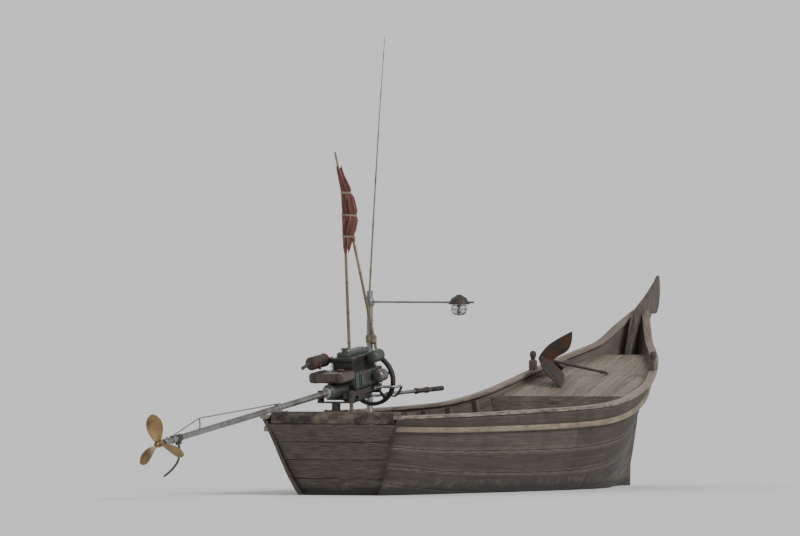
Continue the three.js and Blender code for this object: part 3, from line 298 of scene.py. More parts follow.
class Piece:
    """Points and faces, with a grain coordinate (along, across, board) and a weight at each point, which is
    edge wear on wood and bamboo and marks the pleat crests for a painted highlight on the flags' cloth.

    Sizes are in the piece's unit, but for loft, add and the points that a slab's place returns.
    """

    def __init__(self, matrix=None, unit=1.0, body="hull"):
        self.matrix, self.unit, self.body = matrix, unit, body
        self.points, self.faces, self.grain, self.wear_and_highlight = [], [], [], []

    def add(self, points, faces, grain, wear_and_highlight=None):
        base = len(self.points)
        points = [Vector(p) for p in np.asarray(points, float).tolist()]
        self.grain += [tuple(g) for g in grain]
        self.wear_and_highlight += [0.0] * len(points) if wear_and_highlight is None else [float(w) for w in wear_and_highlight]
        self.points += [self.matrix @ p for p in points] if self.matrix else points
        self.faces += [tuple(base + i for i in face) for face in faces]

    def loft(self, rings, board=0.0, wear_and_highlight=0.0, caps=True):
        """A skin over rings of points, closed round each ring and at both ends."""
        rings = np.asarray(rings, float)
        count, sides = rings.shape[:2]
        middle = rings.mean(1)
        along = np.concatenate([[0], np.cumsum(np.linalg.norm(np.diff(middle, axis=0), axis=1))])
        axis = middle[-1] - middle[0]
        axis /= max(np.linalg.norm(axis), 1e-9)
        widest = rings[count // 2] - middle[count // 2]
        first = widest[np.argmax(np.linalg.norm(widest, axis=1))]
        first = first - axis * first.dot(axis)
        first /= max(np.linalg.norm(first), 1e-9)
        second = np.cross(axis, first)
        offset = rings - middle[:, None]
        across = offset @ first + 0.6 * (offset @ second)
        grain = np.stack([np.broadcast_to(along[:, None], across.shape), across,
                          np.full(across.shape, board)], -1)
        faces = grid(count, sides)
        if caps:
            faces += [tuple(range(sides - 1, -1, -1)), tuple(range((count - 1) * sides, count * sides))]
        self.add(rings.reshape(-1, 3), faces, grain.reshape(-1, 3),
                 np.broadcast_to(wear_and_highlight, (count, sides)).ravel())

    def block(self, x0, x1, y0, y1, z0, z1, corner, steps=2, board=0.0, axis=0):
        """A box with rounded edges. Its grain runs along axis."""
        order = [axis, (axis + 1) % 3, (axis + 2) % 3]
        (a0, a1), (b0, b1), (c0, c1) = (np.array([(x0, x1), (y0, y1), (z0, z1)], float) * self.unit)[order]
        corner = min(corner * self.unit, (a1 - a0) / 2 - 1e-5, (b1 - b0) / 2 - 1e-5, (c1 - c0) / 2 - 1e-5)
        ends = [(a0 + depth, inset) for inset, depth in rounding(corner, steps)]
        ends += [(a1 - (a - a0), inset) for a, inset in reversed(ends)]
        rings = []
        for a, inset in ends:
            ring = rounded(b1 - b0 - 2 * inset, c1 - c0 - 2 * inset, max(corner - inset, 1e-4), steps)
            points = np.full((len(ring), 3), a)
            points[:, order[1:]] = ring + ((b0 + b1) / 2, (c0 + c1) / 2)
            rings.append(points)
        self.loft(rings, board, 0.8)

    def pair(self, x0, x1, y0, y1, *rest):
        """The same block on both sides."""
        self.block(x0, x1, -y1, -y0, *rest)
        self.block(x0, x1, y0, y1, *rest)

    def tube(self, path, radius, sides=12, board=0.0, closed=False, wear_and_highlight=0.0):
        """A round bar along a path. radius is one number or one for each point."""
        path = np.asarray(path, float) * self.unit
        radius = np.broadcast_to(np.asarray(radius) * self.unit, len(path))
        tangent = np.roll(path, -1, 0) - np.roll(path, 1, 0) if closed else np.gradient(path, axis=0)
        tangent /= np.linalg.norm(tangent, axis=1)[:, None]
        side = np.cross(tangent[0], (0.1, 0.2, 0.97) if abs(tangent[0][2]) < 0.9 else X)
        rings = []
        for middle, line, size in zip(path, tangent, radius):
            side = side - line * side.dot(line)
            side /= np.linalg.norm(side)
            rings.append(middle + circle(sides, size) @ [side, np.cross(line, side)])
        if closed:
            rings.append(rings[0])
        self.loft(rings, board, np.reshape(wear_and_highlight, (-1, 1)), not closed)

    def turned(self, profile, origin=(0, 0, 0), line=X, sides=24, board=0.0):
        """A body turned about a line, from radii and distances along it in turn."""
        profile = np.reshape(profile, (-1, 2)) * self.unit
        origin = np.array(origin, float) * self.unit
        line = np.array(line, float) / np.linalg.norm(line)
        side = np.cross(line, Z if abs(line[2]) < 0.9 else X)
        side /= np.linalg.norm(side)
        points, rows = [], []
        for radius, at in profile:
            start = len(points)
            if radius < 1e-6:
                points.append(origin + line * at)
                rows.append([start] * sides)
                continue
            points += list(origin + line * at + circle(sides, radius) @ [side, np.cross(line, side)])
            rows.append(list(range(start, start + sides)))
        faces = []
        if profile[0][0] > 1e-6 or profile[-1][0] > 1e-6:
            rows.append(rows[0])
        for a, b in zip(rows, rows[1:]):
            for i in range(sides):
                n = (i + 1) % sides
                face = without_doubles([a[i], a[n], b[n], b[i]])
                if len(face) > 2:
                    faces.append(face)
        self.add(points, faces, [(p @ line, (p - origin) @ side, board) for p in points])

    def slab(self, outline, low, high, place, corner, steps, board, turn=0.0):
        """A flat plate of any outline with rounded edges. place turns (u, v, depth) into a point."""
        outline, low, high = np.array(outline) * self.unit, low * self.unit, high * self.unit
        cosine, sine = math.cos(math.radians(turn)), math.sin(math.radians(turn))
        layers = [(inset, low + depth) for inset, depth in rounding(corner * self.unit, steps)]
        layers += [(inset, high - (depth - low)) for inset, depth in reversed(layers)]
        count = len(outline)
        points, grain = [], []
        for inset, depth in layers:
            for u, v in offset_outline(outline, inset):
                points.append(place(u, v, depth))
                grain.append((u * cosine + v * sine, v * cosine - u * sine + 0.6 * depth, board))
        faces = grid(len(layers), count)
        for layer in (0, len(layers) - 1):
            ring = offset_outline(outline, layers[layer][0])
            fill = tessellate_polygon([[Vector((u, v, 0)) for u, v in ring]])
            faces += [tuple(layer * count + i for i in face) for face in fill]
        self.add(points, faces, grain, [0.8] * len(points))

    def bolt(self, at, line, size):
        """A bolt head with its washer."""
        self.turned(size * np.array((0, 0.75, 0.75, 0.75, 1, 0.6, 1, 0, 0, 0)), at, line, 6)
        self.turned(size * np.array((0, 0.18, 1.45, 0.18, 1.5, 0, 0, 0)), at, line, 14)

    def bolt_ring(self, middle, line, radius, count, size, start=0.0):
        """Bolts in a circle, with their heads along the line."""
        side = np.cross(line, Z)
        for at in circle(count, radius, start) @ [side, np.cross(line, side)]:
            self.bolt(middle + at, line, size)

    def flutes(self, count, middle, radius, places, radii, sides=6):
        """Low ridges along x round a can."""
        for u, v in circle(count, radius):
            self.tube([(x, middle[0] + u, middle[1] + v) for x in places], radii, sides)

    def publish(self, name, look, replaced="", sharp=38, slot=None):
        """Makes the Blender object, hangs it on the body it rides on and hides the parts that it replaces.
        """
        mesh = bpy.data.meshes.new(name)
        mesh.from_pydata([tuple(p) for p in self.points], [], self.faces)
        grain = mesh.attributes.new("grain", "FLOAT_VECTOR", "POINT")
        grain.data.foreach_set("vector", np.array(self.grain, np.float32).reshape(-1))
        wear_and_highlight = mesh.attributes.new("wear_and_highlight", "FLOAT", "POINT")
        wear_and_highlight.data.foreach_set("value", np.array(self.wear_and_highlight, np.float32))
        tidy = bmesh.new()
        tidy.from_mesh(mesh)
        bmesh.ops.recalc_face_normals(tidy, faces=tidy.faces)
        tidy.to_mesh(mesh)
        tidy.free()
        mesh.shade_smooth()
        mesh.set_sharp_from_angle(angle=math.radians(sharp))
        mesh.materials.append(M[look])
        made = new_object(name, mesh)
        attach(made, self.body)
        slot or SLOTS.get(look, look)
        if replaced:
            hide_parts(*replaced.split())
        return made


# Materials

def dim(color, share):
    return tuple(c * share for c in color)


class Shader:
    """A short way to build node materials."""

    def __init__(self, name):
        self.material = bpy.data.materials.new(name)
        self.material.use_nodes = True
        self.tree = self.material.node_tree
        self.shader = self.tree.nodes["Principled BSDF"]

    def put(self, node, sockets):
        """Gives a node's sockets a number, a colour or the output of another node."""
        for key, value in sockets.items():
            socket = node.inputs[key]
            if isinstance(value, bpy.types.NodeSocket):
                self.tree.links.new(value, socket)
            else:
                socket.default_value = (*value, 1) if socket.type == "RGBA" else value

    def node(self, kind, sockets, **settings):
        made = self.tree.nodes.new("ShaderNode" + kind)
        for key, value in settings.items():
            setattr(made, key, value)
        self.put(made, sockets)
        return made

    def attribute(self, name, output="Fac"):
        return self.node("Attribute", {}, attribute_name=name).outputs[output]

    def place(self):
        return self.node("TexCoord", {}).outputs["Object"]

    def height_of(self, vector):
        return self.node("SeparateXYZ", {0: vector}).outputs["Z"]

    def coordinates(self, scale, attribute=None):
        source = self.attribute(attribute, "Vector") if attribute else self.place()
        return self.node("Mapping", {"Scale": scale, "Vector": source}).outputs["Vector"]

    def noise(self, vector, scale=1.0, detail=6.0, rough=0.6, distortion=0.0):
        return self.node("TexNoise", {
            "Vector": vector, "Scale": scale, "Detail": detail, "Roughness": rough,
            "Distortion": distortion}).outputs["Fac"]

    def wave(self, vector, direction, **sockets):
        return self.node("TexWave", {"Vector": vector, **sockets}, wave_type="BANDS",
                         bands_direction=direction).outputs["Fac"]

    def ramp(self, value, *stops):
        """A colour ramp, from places and their colours or grey levels in turn."""
        made = self.node("ValToRGB", {"Fac": value})
        elements = made.color_ramp.elements
        while 2 * len(elements) < len(stops):
            elements.new(0.5)
        for element, place, color in zip(elements, stops[::2], stops[1::2]):
            element.position = place
            element.color = (*(float(level) for level in np.broadcast_to(color, 3)), 1)
        return made.outputs["Color"]

    def math(self, operation, a, b):
        return self.node("Math", {0: a, 1: b}, operation=operation).outputs["Value"]

    def times(self, a, b):
        return self.math("MULTIPLY", a, b)

    def mix(self, share, a, b, blend="MIX"):
        return self.node("Mix", {0: share, 6: a, 7: b}, data_type="RGBA", blend_type=blend).outputs[2]

    def shade(self, tone, level):
        return self.mix(1.0, tone, level, "MULTIPLY")

    def finish(self, tone, gloss, low, high, bumps=(), fixed=()):
        """Joins colour, roughness and bumps to the shader and returns the material."""
        span = self.node("MapRange", {"Value": gloss, "To Min": low, "To Max": high})
        sockets = {"Base Color": tone, "Roughness": span.outputs["Result"], **dict(fixed)}
        below = {}
        for height, strength, distance in bumps:
            bump = self.node("Bump", {"Height": height, "Strength": strength, "Distance": distance, **below})
            below = {"Normal": bump.outputs["Normal"]}
        self.put(self.shader, {**sockets, **below})
        return self.material


# Added to the board number of faces inside the hull, which stay free of the waterline's stain
INSIDE = 500
WOOD_SCALES = {"grain": (2.4, 85, 9.7), "x": (2.4, 85, 85), "y": (85, 2.4, 85)}


def wood(name, dark, middle, light, run="grain", worn=(0.2, 0.172, 0.14), stain=0.0):
    """Plank wood: long fibres, each board its own tone, worn edges, and a wet dark band at the water."""
    s = Shader(name)
    planks = run == "grain"
    vector = s.coordinates(WOOD_SCALES[run], "grain" if planks else None)
    fibre = s.noise(vector, 1.0, 8, 0.66, 0.6)
    fine = s.noise(vector, 3.2, 6, 0.7)
    tone = s.ramp(fibre, 0.22, dark, 0.5, middle, 0.8, light)
    tone = s.shade(tone, s.ramp(s.noise(vector, 0.22, 4, 0.55, 0.4), 0.3, 0.72, 0.7, 1.25))
    if planks:
        board = s.height_of(s.attribute("grain", "Vector"))
        pick = s.node("TexWhiteNoise", {}, noise_dimensions="1D")
        s.put(pick, {"W": board})
        tone = s.shade(tone, s.ramp(pick.outputs["Value"], 0, 0.62, 1, 1.35))
    blotch = s.noise(s.coordinates((1.3, 1.3, 0.8)), 2.2, 5, 0.6)
    tone = s.mix(s.ramp(blotch, 0.42, 0, 0.7, 0.55), tone, dim(dark, 0.45))
    tone = s.shade(tone, s.ramp(fine, 0.3, 0.45, 0.42, 1))
    edge = s.attribute("wear_and_highlight")
    tone = s.mix(s.times(edge, s.ramp(fine, 0.42, 0, 0.62, 0.8)), tone, worn)
    tone = s.mix(s.ramp(s.times(edge, -1.0), 0, 0, 0.6, 0.92), tone, (0.012, 0.011, 0.01))
    if stain:
        ragged = s.times(s.noise(s.coordinates((3, 3, 3)), 1.5, 5), 0.09)
        height = s.math("SUBTRACT", s.height_of(s.place()), ragged)
        outside = s.math("LESS_THAN", board, 0.6 * INSIDE) if planks else 1.0
        wet = s.times(s.ramp(s.times(height, 8.0), 0, 1, 0.35, 0), outside)
        tone = s.mix(s.times(wet, stain), tone, (0.02, 0.022, 0.018))
        salt = s.times(s.ramp(s.times(height, 5.0), 0.02, 0, 0.16, 0.5, 0.45, 0), outside)
        streak = s.ramp(s.noise(s.coordinates((14, 14, 0.9)), 1, 5), 0.5, 0, 0.7, 0.5)
        tone = s.mix(s.times(salt, streak), tone, (0.26, 0.26, 0.23))
    return s.finish(tone, fine, 0.5, 0.86, [(fibre, 0.35, 0.0015), (fine, 0.25, 0.0006)],
                    {"Specular IOR Level": 0.4})


def painted(name, paint, below, rust, rough, metal, oil, fine=60):
    """Old paint on iron: chips down to rust, oily dust in patches and brush-coarse skin."""
    s = Shader(name)
    vector = s.coordinates((1, 1, 1))
    chip = s.noise(vector, fine, 8, 0.7, 0.4)
    broad = s.noise(vector, fine / 7, 5, 0.6)
    tone = s.mix(s.ramp(broad, 0.35, 0, 0.7, 0.6), paint, dim(paint, 0.6))
    bare = s.times(s.ramp(chip, 0.6 - rust * 0.3, 0, 0.66 - rust * 0.3, 1), s.ramp(broad, 0.45, 0, 0.6, 1))
    rusty = s.ramp(s.noise(vector, fine * 2.2, 6, 0.7), 0.3, dim(below, 0.5), 0.7, below)
    tone = s.mix(bare, tone, rusty)
    grime = s.ramp(s.noise(vector, fine / 4, 6, 0.65, 0.8), 0.5, 0, 0.72, oil)
    tone = s.mix(grime, tone, (0.018, 0.015, 0.012))
    gloss = s.math("ADD", s.times(bare, 0.7), s.times(chip, 0.4))
    return s.finish(tone, gloss, *rough, [(chip, 0.22, 0.0008), (bare, 0.3, 0.0005)], {"Metallic": metal})


def metal(name, tint, dull, rough=(0.28, 0.6), fine=45, spots=0.5):
    """Bare metal with a dull skin, spots and fine scratches."""
    s = Shader(name)
    vector = s.coordinates((1, 1, 1))
    broad = s.noise(vector, fine / 5, 6, 0.6)
    small = s.noise(vector, fine * 3, 8, 0.7)
    spot = s.times(s.ramp(small, 0.58, 0, 0.68, spots), s.ramp(broad, 0.4, 1, 0.6, 0.2))
    tone = s.mix(spot, s.ramp(broad, 0.3, dull, 0.62, tint), (0.10, 0.045, 0.02))
    gloss = s.math("ADD", s.times(broad, 0.6), s.times(spot, 0.6))
    return s.finish(tone, gloss, *rough, [(small, 0.12, 0.0004)], {"Metallic": 0.85})


def bamboo_skin(name):
    s = Shader(name)
    fibre = s.noise(s.coordinates((2.2, 60, 5.1), "grain"), 1, 7, 0.6, 0.3)
    tone = s.ramp(fibre, 0.25, (0.08, 0.057, 0.031), 0.5, (0.2, 0.15, 0.082), 0.8, (0.31, 0.25, 0.15))
    blotch = s.noise(s.coordinates((5, 5, 2.2)), 1.6, 5, 0.6)
    tone = s.mix(s.ramp(blotch, 0.45, 0, 0.7, 0.6), tone, (0.09, 0.075, 0.055))
    tone = s.mix(s.times(s.attribute("wear_and_highlight"), 0.75), tone, (0.06, 0.045, 0.03))
    return s.finish(tone, fibre, 0.35, 0.7, [(fibre, 0.2, 0.0006)])


def cloth_skin(name, light, dark):
    """Faded woven cloth: threads both ways, and a painted highlight on the pleats' outer crests that leaves
    the folds between them darker as painted shade.
    """
    s = Shader(name)
    vector = s.coordinates((1, 1, 1), "grain")
    weave = s.times(*(s.wave(vector, way, Scale=260, Distortion=0.6, Detail=1) for way in "XY"))
    fade = s.noise(s.coordinates((9, 9, 4)), 1, 6, 0.65)
    # Painted highlight: the pleats' outer crests, marked in the per-point weight, are mixed towards a paler
    # tone.
    tone = s.mix(s.times(s.attribute("wear_and_highlight"), 0.5), s.ramp(fade, 0.3, dark, 0.7, light), dim(light, 1.8))
    tone = s.mix(s.ramp(weave, 0, 0.35, 0.5, 0), tone, dim(dark, 0.4))
    sheen = {"Sheen Weight": 0.3, "Sheen Roughness": 0.5}
    return s.finish(tone, fade, 0.8, 0.95, [(weave, 0.5, 0.0004)], sheen)


def rope_skin(name):
    """Laid rope: slanted strands along the grain coordinate."""
    s = Shader(name)
    lay = s.wave(s.coordinates((60, 160, 3), "grain"), "DIAGONAL", Scale=1, Distortion=0.8)
    dirt = s.noise(s.coordinates((30, 30, 30)), 1, 6, 0.65)
    tone = s.ramp(lay, 0.1, (0.11, 0.085, 0.055), 0.7, (0.42, 0.35, 0.24))
    tone = s.mix(s.ramp(dirt, 0.4, 0, 0.75, 0.6), tone, (0.1, 0.085, 0.06))
    return s.finish(tone, dirt, 0.8, 0.95, [(lay, 0.8, 0.001)])


def rubber_skin(name):
    s = Shader(name)
    vector = s.coordinates((1, 1, 1))
    dust = s.noise(vector, 45, 6, 0.65)
    tone = s.ramp(dust, 0.4, 0.018, 0.75, (0.06, 0.057, 0.052))
    return s.finish(tone, dust, 0.55, 0.85, [(s.noise(vector, 300, 4, 0.6), 0.25, 0.0003)])


def glass_skin(name):
    """Old lamp glass with a light haze of salt."""
    s = Shader(name)
    haze = s.noise(s.coordinates((1, 1, 1)), 40, 6, 0.65)
    tone = s.ramp(haze, 0.35, (0.93, 0.96, 0.95), 0.8, (0.78, 0.8, 0.77))
    return s.finish(tone, haze, 0.05, 0.32, fixed={"Transmission Weight": 0.94, "IOR": 1.48})


HULL_TONES = ((0.02, 0.016, 0.013), (0.06, 0.046, 0.036), (0.115, 0.091, 0.072))
FRAME_TONES = ((0.028, 0.022, 0.017), (0.08, 0.062, 0.046), (0.14, 0.112, 0.086))
DECK_TONES = ((0.06, 0.047, 0.036), (0.15, 0.118, 0.086), (0.25, 0.205, 0.158))
RAIL_TONES = ((0.15, 0.118, 0.083), (0.33, 0.272, 0.195), (0.46, 0.395, 0.3))

M = {
    "hull": wood("hull_planks", *HULL_TONES, stain=0.8),
    "hull_x": wood("hull_timber_x", *HULL_TONES, run="x", stain=0.8),
    "hull_y": wood("hull_timber_y", *HULL_TONES, run="y"),
    "inner": wood("frame_timber", *FRAME_TONES),
    "deck": wood("deck_boards", *DECK_TONES, worn=(0.34, 0.3, 0.245)),
    "rail": wood("worn_rail", *RAIL_TONES, worn=(0.12, 0.09, 0.065)),
    "iron": painted("painted_iron", (0.035, 0.038, 0.036), (0.115, 0.045, 0.02), 0.4, (0.4, 0.9), 0.1, 0.5),
    "engine": painted("engine_paint", (0.048, 0.064, 0.054), (0.1, 0.048, 0.026), 0.3, (0.28, 0.75), 0.0,
                      0.8, 40),
    "muffler": painted("hot_iron", (0.04, 0.034, 0.031), (0.12, 0.052, 0.026), 0.8, (0.6, 0.95), 0.1, 0.2),
    "tank": painted("tank_paint", (0.062, 0.046, 0.036), (0.13, 0.062, 0.033), 0.25, (0.22, 0.6), 0.0,
                    0.6, 35),
    "steel": metal("galvanised", (0.3, 0.292, 0.28), (0.14, 0.136, 0.13)),
    "bronze": metal("dull_bronze", (0.34, 0.225, 0.1), (0.12, 0.088, 0.048), (0.3, 0.6), 40, 0.15),
    "bamboo": bamboo_skin("bamboo_skin"),
    "cloth": cloth_skin("faded_cloth", (0.17, 0.05, 0.04), (0.07, 0.022, 0.019)),
    "rope": rope_skin("laid_rope"),
    "rubber": rubber_skin("ribbed_rubber"),
    "glass": glass_skin("hazed_glass"),
}
# The slot of each look, where its name differs
SLOTS = {
    "hull": "hull_wood", "inner": "hull_wood", "deck": "deck_wood", "rail": "pale_wood",
    "engine": "engine_castings", "muffler": "iron", "tank": "tank_shell", "glass": "lamp_glass",
}


# Hull

def ring_at(middle, outline, axis=0):
    """A flat outline set across an axis, about a middle point."""
    ring = np.tile(np.array(middle, float), (len(outline), 1))
    ring[:, [k for k in range(3) if k != axis]] += outline
    return ring


# Each strake: its edges, and the shares of the length at its butt joints, port then starboard
STRAKES = [
    (0.0, 0.14, (0.27, 0.62), (0.33, 0.7)), (0.14, 0.28, (0.4, 0.75), (0.22, 0.55)),
    (0.28, 0.42, (0.2, 0.52), (0.44, 0.8)), (0.42, 0.55, (0.34, 0.68), (0.28, 0.6)),
    (0.55, 0.68, (0.47,), (0.38, 0.74)), (0.68, 0.81, (0.25, 0.6), (0.5,)),
    (0.81, 0.93, (0.41, 0.72), (0.3, 0.66)), (0.93, 1.0, (0.31, 0.64), (0.42, 0.7)),
]
CHAMFER = 0.0042
SEAM_GAP = 0.0007
BUTT_GAP = 0.00012
BUTT = {"run": 0.0006, "drop": 0.002}
UNEVEN = {"plank": 0.0011, "along": 0.0008}
PAD = {"ends": np.array((-0.085, -0.081, 0.081, 0.085)), "gap": 0.014, "low": -0.001, "high": 0.011}
SEAM_SHARES = np.linspace(0, 1, 161)
# A plank's last four columns of points are its back, inside the hull
BACK = 4
BAR_WEAR = np.array([0, 0, 1, 1, 1, 1])
PLANK_NAIL = (0, 0.0016, 0.0035, 0.0013, 0.0055, 0, 0, -0.001)
NAIL = (0, 0.0018, 0.004, 0.0014, 0.006, 0, 0, -0.001)


def girth_lines():
    """Where each strake edge lies on every form, so that the seams run fair to the stem."""
    forms = []
    for share in SEAM_SHARES:
        steps = np.linalg.norm(np.diff(hull(share, FINE), axis=0), axis=1)
        run = np.concatenate([[0], np.cumsum(steps)])
        forms.append((run, np.interp(RAIL_T, FINE, run)))
    middle, girth = forms[len(forms) // 2]
    seams = {}
    for t0, _, _, _ in STRAKES:
        part = np.interp(t0, FINE, middle) / girth
        seams[t0] = np.array([np.interp(part * whole, run, FINE) for run, whole in forms])
    return seams


SEAMS = girth_lines()


def seam(t, share):
    if 0 < t < RAIL_T:
        return np.interp(share, SEAM_SHARES, SEAMS[t])
    return np.broadcast_to(float(t), np.shape(share))


def plank(piece, low_edge, high_edge, start, end, side, board):
    """One plank, with chamfered long edges, a lightly uneven face and a flat back."""
    share = np.linspace(start, end, max(int((end - start) * FORMS), 6))
    share = np.concatenate([[start, start + BUTT["run"]], share[1:-1], [end - BUTT["run"], end]])
    t0, t1 = seam(low_edge, share), seam(high_edge, share)
    wide = np.linalg.norm(hull(share, t1, 0, side) - hull(share, t0, 0, side), axis=1)
    per = (t1 - t0) / np.maximum(wide, 0.01)
    edge, gap = CHAMFER * per, SEAM_GAP * per
    drop = np.zeros(len(share))
    drop[0] = drop[-1] = BUTT["drop"]
    waves = np.array([noise.noise(Vector((s * 9, board * 1.7, side))) for s in share])
    lift = UNEVEN["plank"] * noise.noise(Vector((board * 3.1, side * 2.0, 0.4))) + UNEVEN["along"] * waves
    outer = [(gap, CHAMFER, -1.0), (gap + edge * 0.35, CHAMFER * 0.3, 0.5), (gap + edge, 0.0, 0.9)]
    columns = [(t0 + inset, depth + lift * 0.6 + drop, worn) for inset, depth, worn in outer]
    columns += [(t0 + part * (t1 - t0), lift + drop, 0.12) for part in (0.2, 0.4, 0.6, 0.8)]
    columns += [(t1 - inset, depth + lift * 0.6 + drop, worn) for inset, depth, worn in reversed(outer)]
    columns += [(t0 + part * (t1 - t0), PLANK, 0.3) for part in (1.0, 0.66, 0.33, 0.0)]
    count, sides = len(share), len(columns)
    rings = np.stack([hull(share, np.clip(t, 0, 1), depth, side) for t, depth, _ in columns], 1)
    faces = grid(count, sides) + end_caps(count, sides)
    back = np.repeat((0, 1), (sides - BACK, BACK))
    across = np.stack([(t - t0) / per for t, _, _ in columns], 1) + side * 3 + 0.4 * back
    grain = np.stack(np.broadcast_arrays(rings[:, :1, 0], across, board + INSIDE * back), -1)
    wear_and_highlight = np.tile([worn for _, _, worn in columns], count)
    piece.add(rings.reshape(-1, 3), faces, grain.reshape(-1, 3), wear_and_highlight)


def end_caps(count, sides):
    """Faces that close a plank's two ends, between its outer and inner columns of points."""
    outer = sides - BACK
    faces = []
    for base in (0, (count - 1) * sides):
        back = [base + sides - 1 - round(j * (BACK - 1) / (outer - 1)) for j in range(outer)]
        for j in range(outer - 1):
            faces.append(without_doubles([base + j, base + j + 1, back[j + 1], back[j]]))
    return faces


def between_ribs(share):
    """The share of the nearest place midway between two ribs."""
    first = RIBS["first"] - 0.5 * RIBS["step"]
    return float(share_of(first + round((sheer_x(share) - first) / RIBS["step"]) * RIBS["step"]))


def butt_pad(piece, share, t0, t1, side, board):
    """A short pad inside the hull, over the joint of two planks."""
    ends = share_of(sheer_x(share) + PAD["ends"])
    heights = np.linspace(seam(t0, share) + PAD["gap"], seam(t1, share) - PAD["gap"], 6)
    first = len(piece.grain)
    piece.loft([bar_section(ends, t, PLANK + PAD["low"], PLANK + PAD["high"], 0.003, side) for t in heights],
               board, 0.7 * BAR_WEAR)
    piece.grain[first:] = [(across, along, number) for along, across, number in piece.grain[first:]]


def make_planking():
    pads = Piece()
    for side, name in SIDES:
        shell, top = Piece(), Piece()
        for index, (t0, t1, *joints) in enumerate(STRAKES):
            butts = [between_ribs(share) for share in joints[side < 0]]
            for share in butts if index > 1 else ():
                butt_pad(pads, share, t0, t1, side, index + 200 * share)
            ends = [0.0, *butts, 1.0]
            for i, (start, end) in enumerate(zip(ends, ends[1:])):
                plank(shell if t1 < 1 else top, t0, t1, start + (BUTT_GAP if i else 0),
                      end - (BUTT_GAP if end < 1 else 0), side, index * 3 + i + (0 if side > 0 else 40))
        replaced = " ".join(f"{name}_planking_{length}" for length in ("aft", "middle", "fore"))
        shell.publish(f"{name}_hull_planks", "hull", replaced, 30)
        top.publish(f"{name}_top_planks", "hull", f"{name}_top_strake", 30)
    pads.publish("butt_pads", "inner")


def make_fastenings():
    """Clenched nails in short rows where the planks cross the ribs."""
    piece = Piece()
    for side, _ in SIDES:
        for share in share_of(RIB_PLACES):
            for t0, t1, _, _ in STRAKES[1:]:
                for part in (0.22, 0.78) if t1 < 1 else (0.5,):
                    t = seam(t0, share) * (1 - part) + seam(t1, share) * part
                    at = hull(share, t, 0.0, side)
                    ahead = hull(share + 0.002, t, 0.0, side) - at
                    up = hull(share, t + 0.01, 0.0, side) - at
                    out = np.cross(ahead, up) * -side
                    out /= np.linalg.norm(out)
                    if out[1] * side < 0 and abs(out[1]) > 0.2:
                        out = -out
                    piece.turned(PLANK_NAIL, at + out * 0.0004, out, 8)
    piece.publish("plank_nails", "iron", sharp=60)


def deck_under(x):
    """Height of the foredeck's underside, or far up where there is no deck."""
    under = deck_height(x) - FOREDECK["thick"] - FOREDECK["coaming"] - 0.001
    return np.where(x > FOREDECK["aft"] - 0.02, under, 9.0)


def make_ribs():
    half, corner = RIBS["half"], RIBS["corner"]
    wide, high = STRINGER["deep"] - STRINGER["near"], STRINGER["high"] - STRINGER["low"]
    for side, name in SIDES:
        piece = Piece()
        for i, x in enumerate(RIB_PLACES):
            shares = share_of(x + np.array((-half, -half + corner, half - corner, half)))
            head = RIBS["fore_head"] if x > RIBS["fore"] else RIBS["head"]
            rings = np.array([
                bar_section(shares, t, PLANK + RIBS["gap"], PLANK + RIBS["deep"], corner, side)
                for t in np.linspace(RIBS["foot"], head, 26)])
            rings[..., 2] = np.minimum(rings[..., 2], deck_under(rings[..., 0]))
            piece.loft(rings, 60 + i + (20 if side < 0 else 0), 0.8 * BAR_WEAR)
        for ends in STRINGER_LENGTHS:
            rings = []
            for x in np.linspace(*ends, 40):
                y = wall(share_of(x), STRINGER["low"], PLANK) - STRINGER["near"] - wide / 2
                rings.append(ring_at((x, side * y, STRINGER["low"] + high / 2), rounded(wide, high, 0.004)))
            piece.loft(rings, 90 + side, 0.5)
        piece.publish(f"{name}_ribs_and_stringer", "inner", f"{name}_ribs_aft {name}_ribs_fore")


RAIL_LENGTHS = ((0, 0.3), (0.3004, 0.66), (0.6604, 1))
CAP_LENGTHS = ((0, 0.37), (0.3704, 0.74), (0.7404, 1))
RAIL_OUTLINE = np.array([
    (-0.006, -0.022), (0.019, -0.022), (0.024, -0.018), (0.026, -0.01), (0.026, 0.01), (0.024, 0.018),
    (0.019, 0.022), (-0.006, 0.022)])
RAIL_WEAR = (0, 0.5, 1, 1, 1, 1, 0.5, 0)


def make_rails():
    thick = GUNWALE["thick"] - 0.0006
    for side, name in SIDES:
        rail, cap = Piece(), Piece()
        for i, (start, end) in enumerate(RAIL_LENGTHS):
            line = hull(np.linspace(start, end, int(FORMS * (end - start))), RAIL_T, 0, side)
            rail.loft([ring_at(p, RAIL_OUTLINE * (side, 1)) for p in line], 100 + side + 4 * i, RAIL_WEAR)
        rail.publish(f"{name}_rail", "rail", f"{name}_rub_rail", 45)
        for i, (start, end) in enumerate(CAP_LENGTHS):
            rings = []
            for x, y, z in catmull(STATIONS, np.linspace(start, end, int(FORMS * (end - start))))[:, :3]:
                near, far = max(y - GUNWALE["in"], GUNWALE["stem"]), y + GUNWALE["out"]
                outline = rounded(far - near, thick, 0.007, 3) * (side, 1)
                rings.append(ring_at((x, side * (near + far) / 2, z - thick / 2), outline))
            cap.loft(rings, 110 + side + 4 * i, 0.9)
        cap.publish(f"{name}_gunwale_cap", "deck", f"{name}_gunwale", 50)


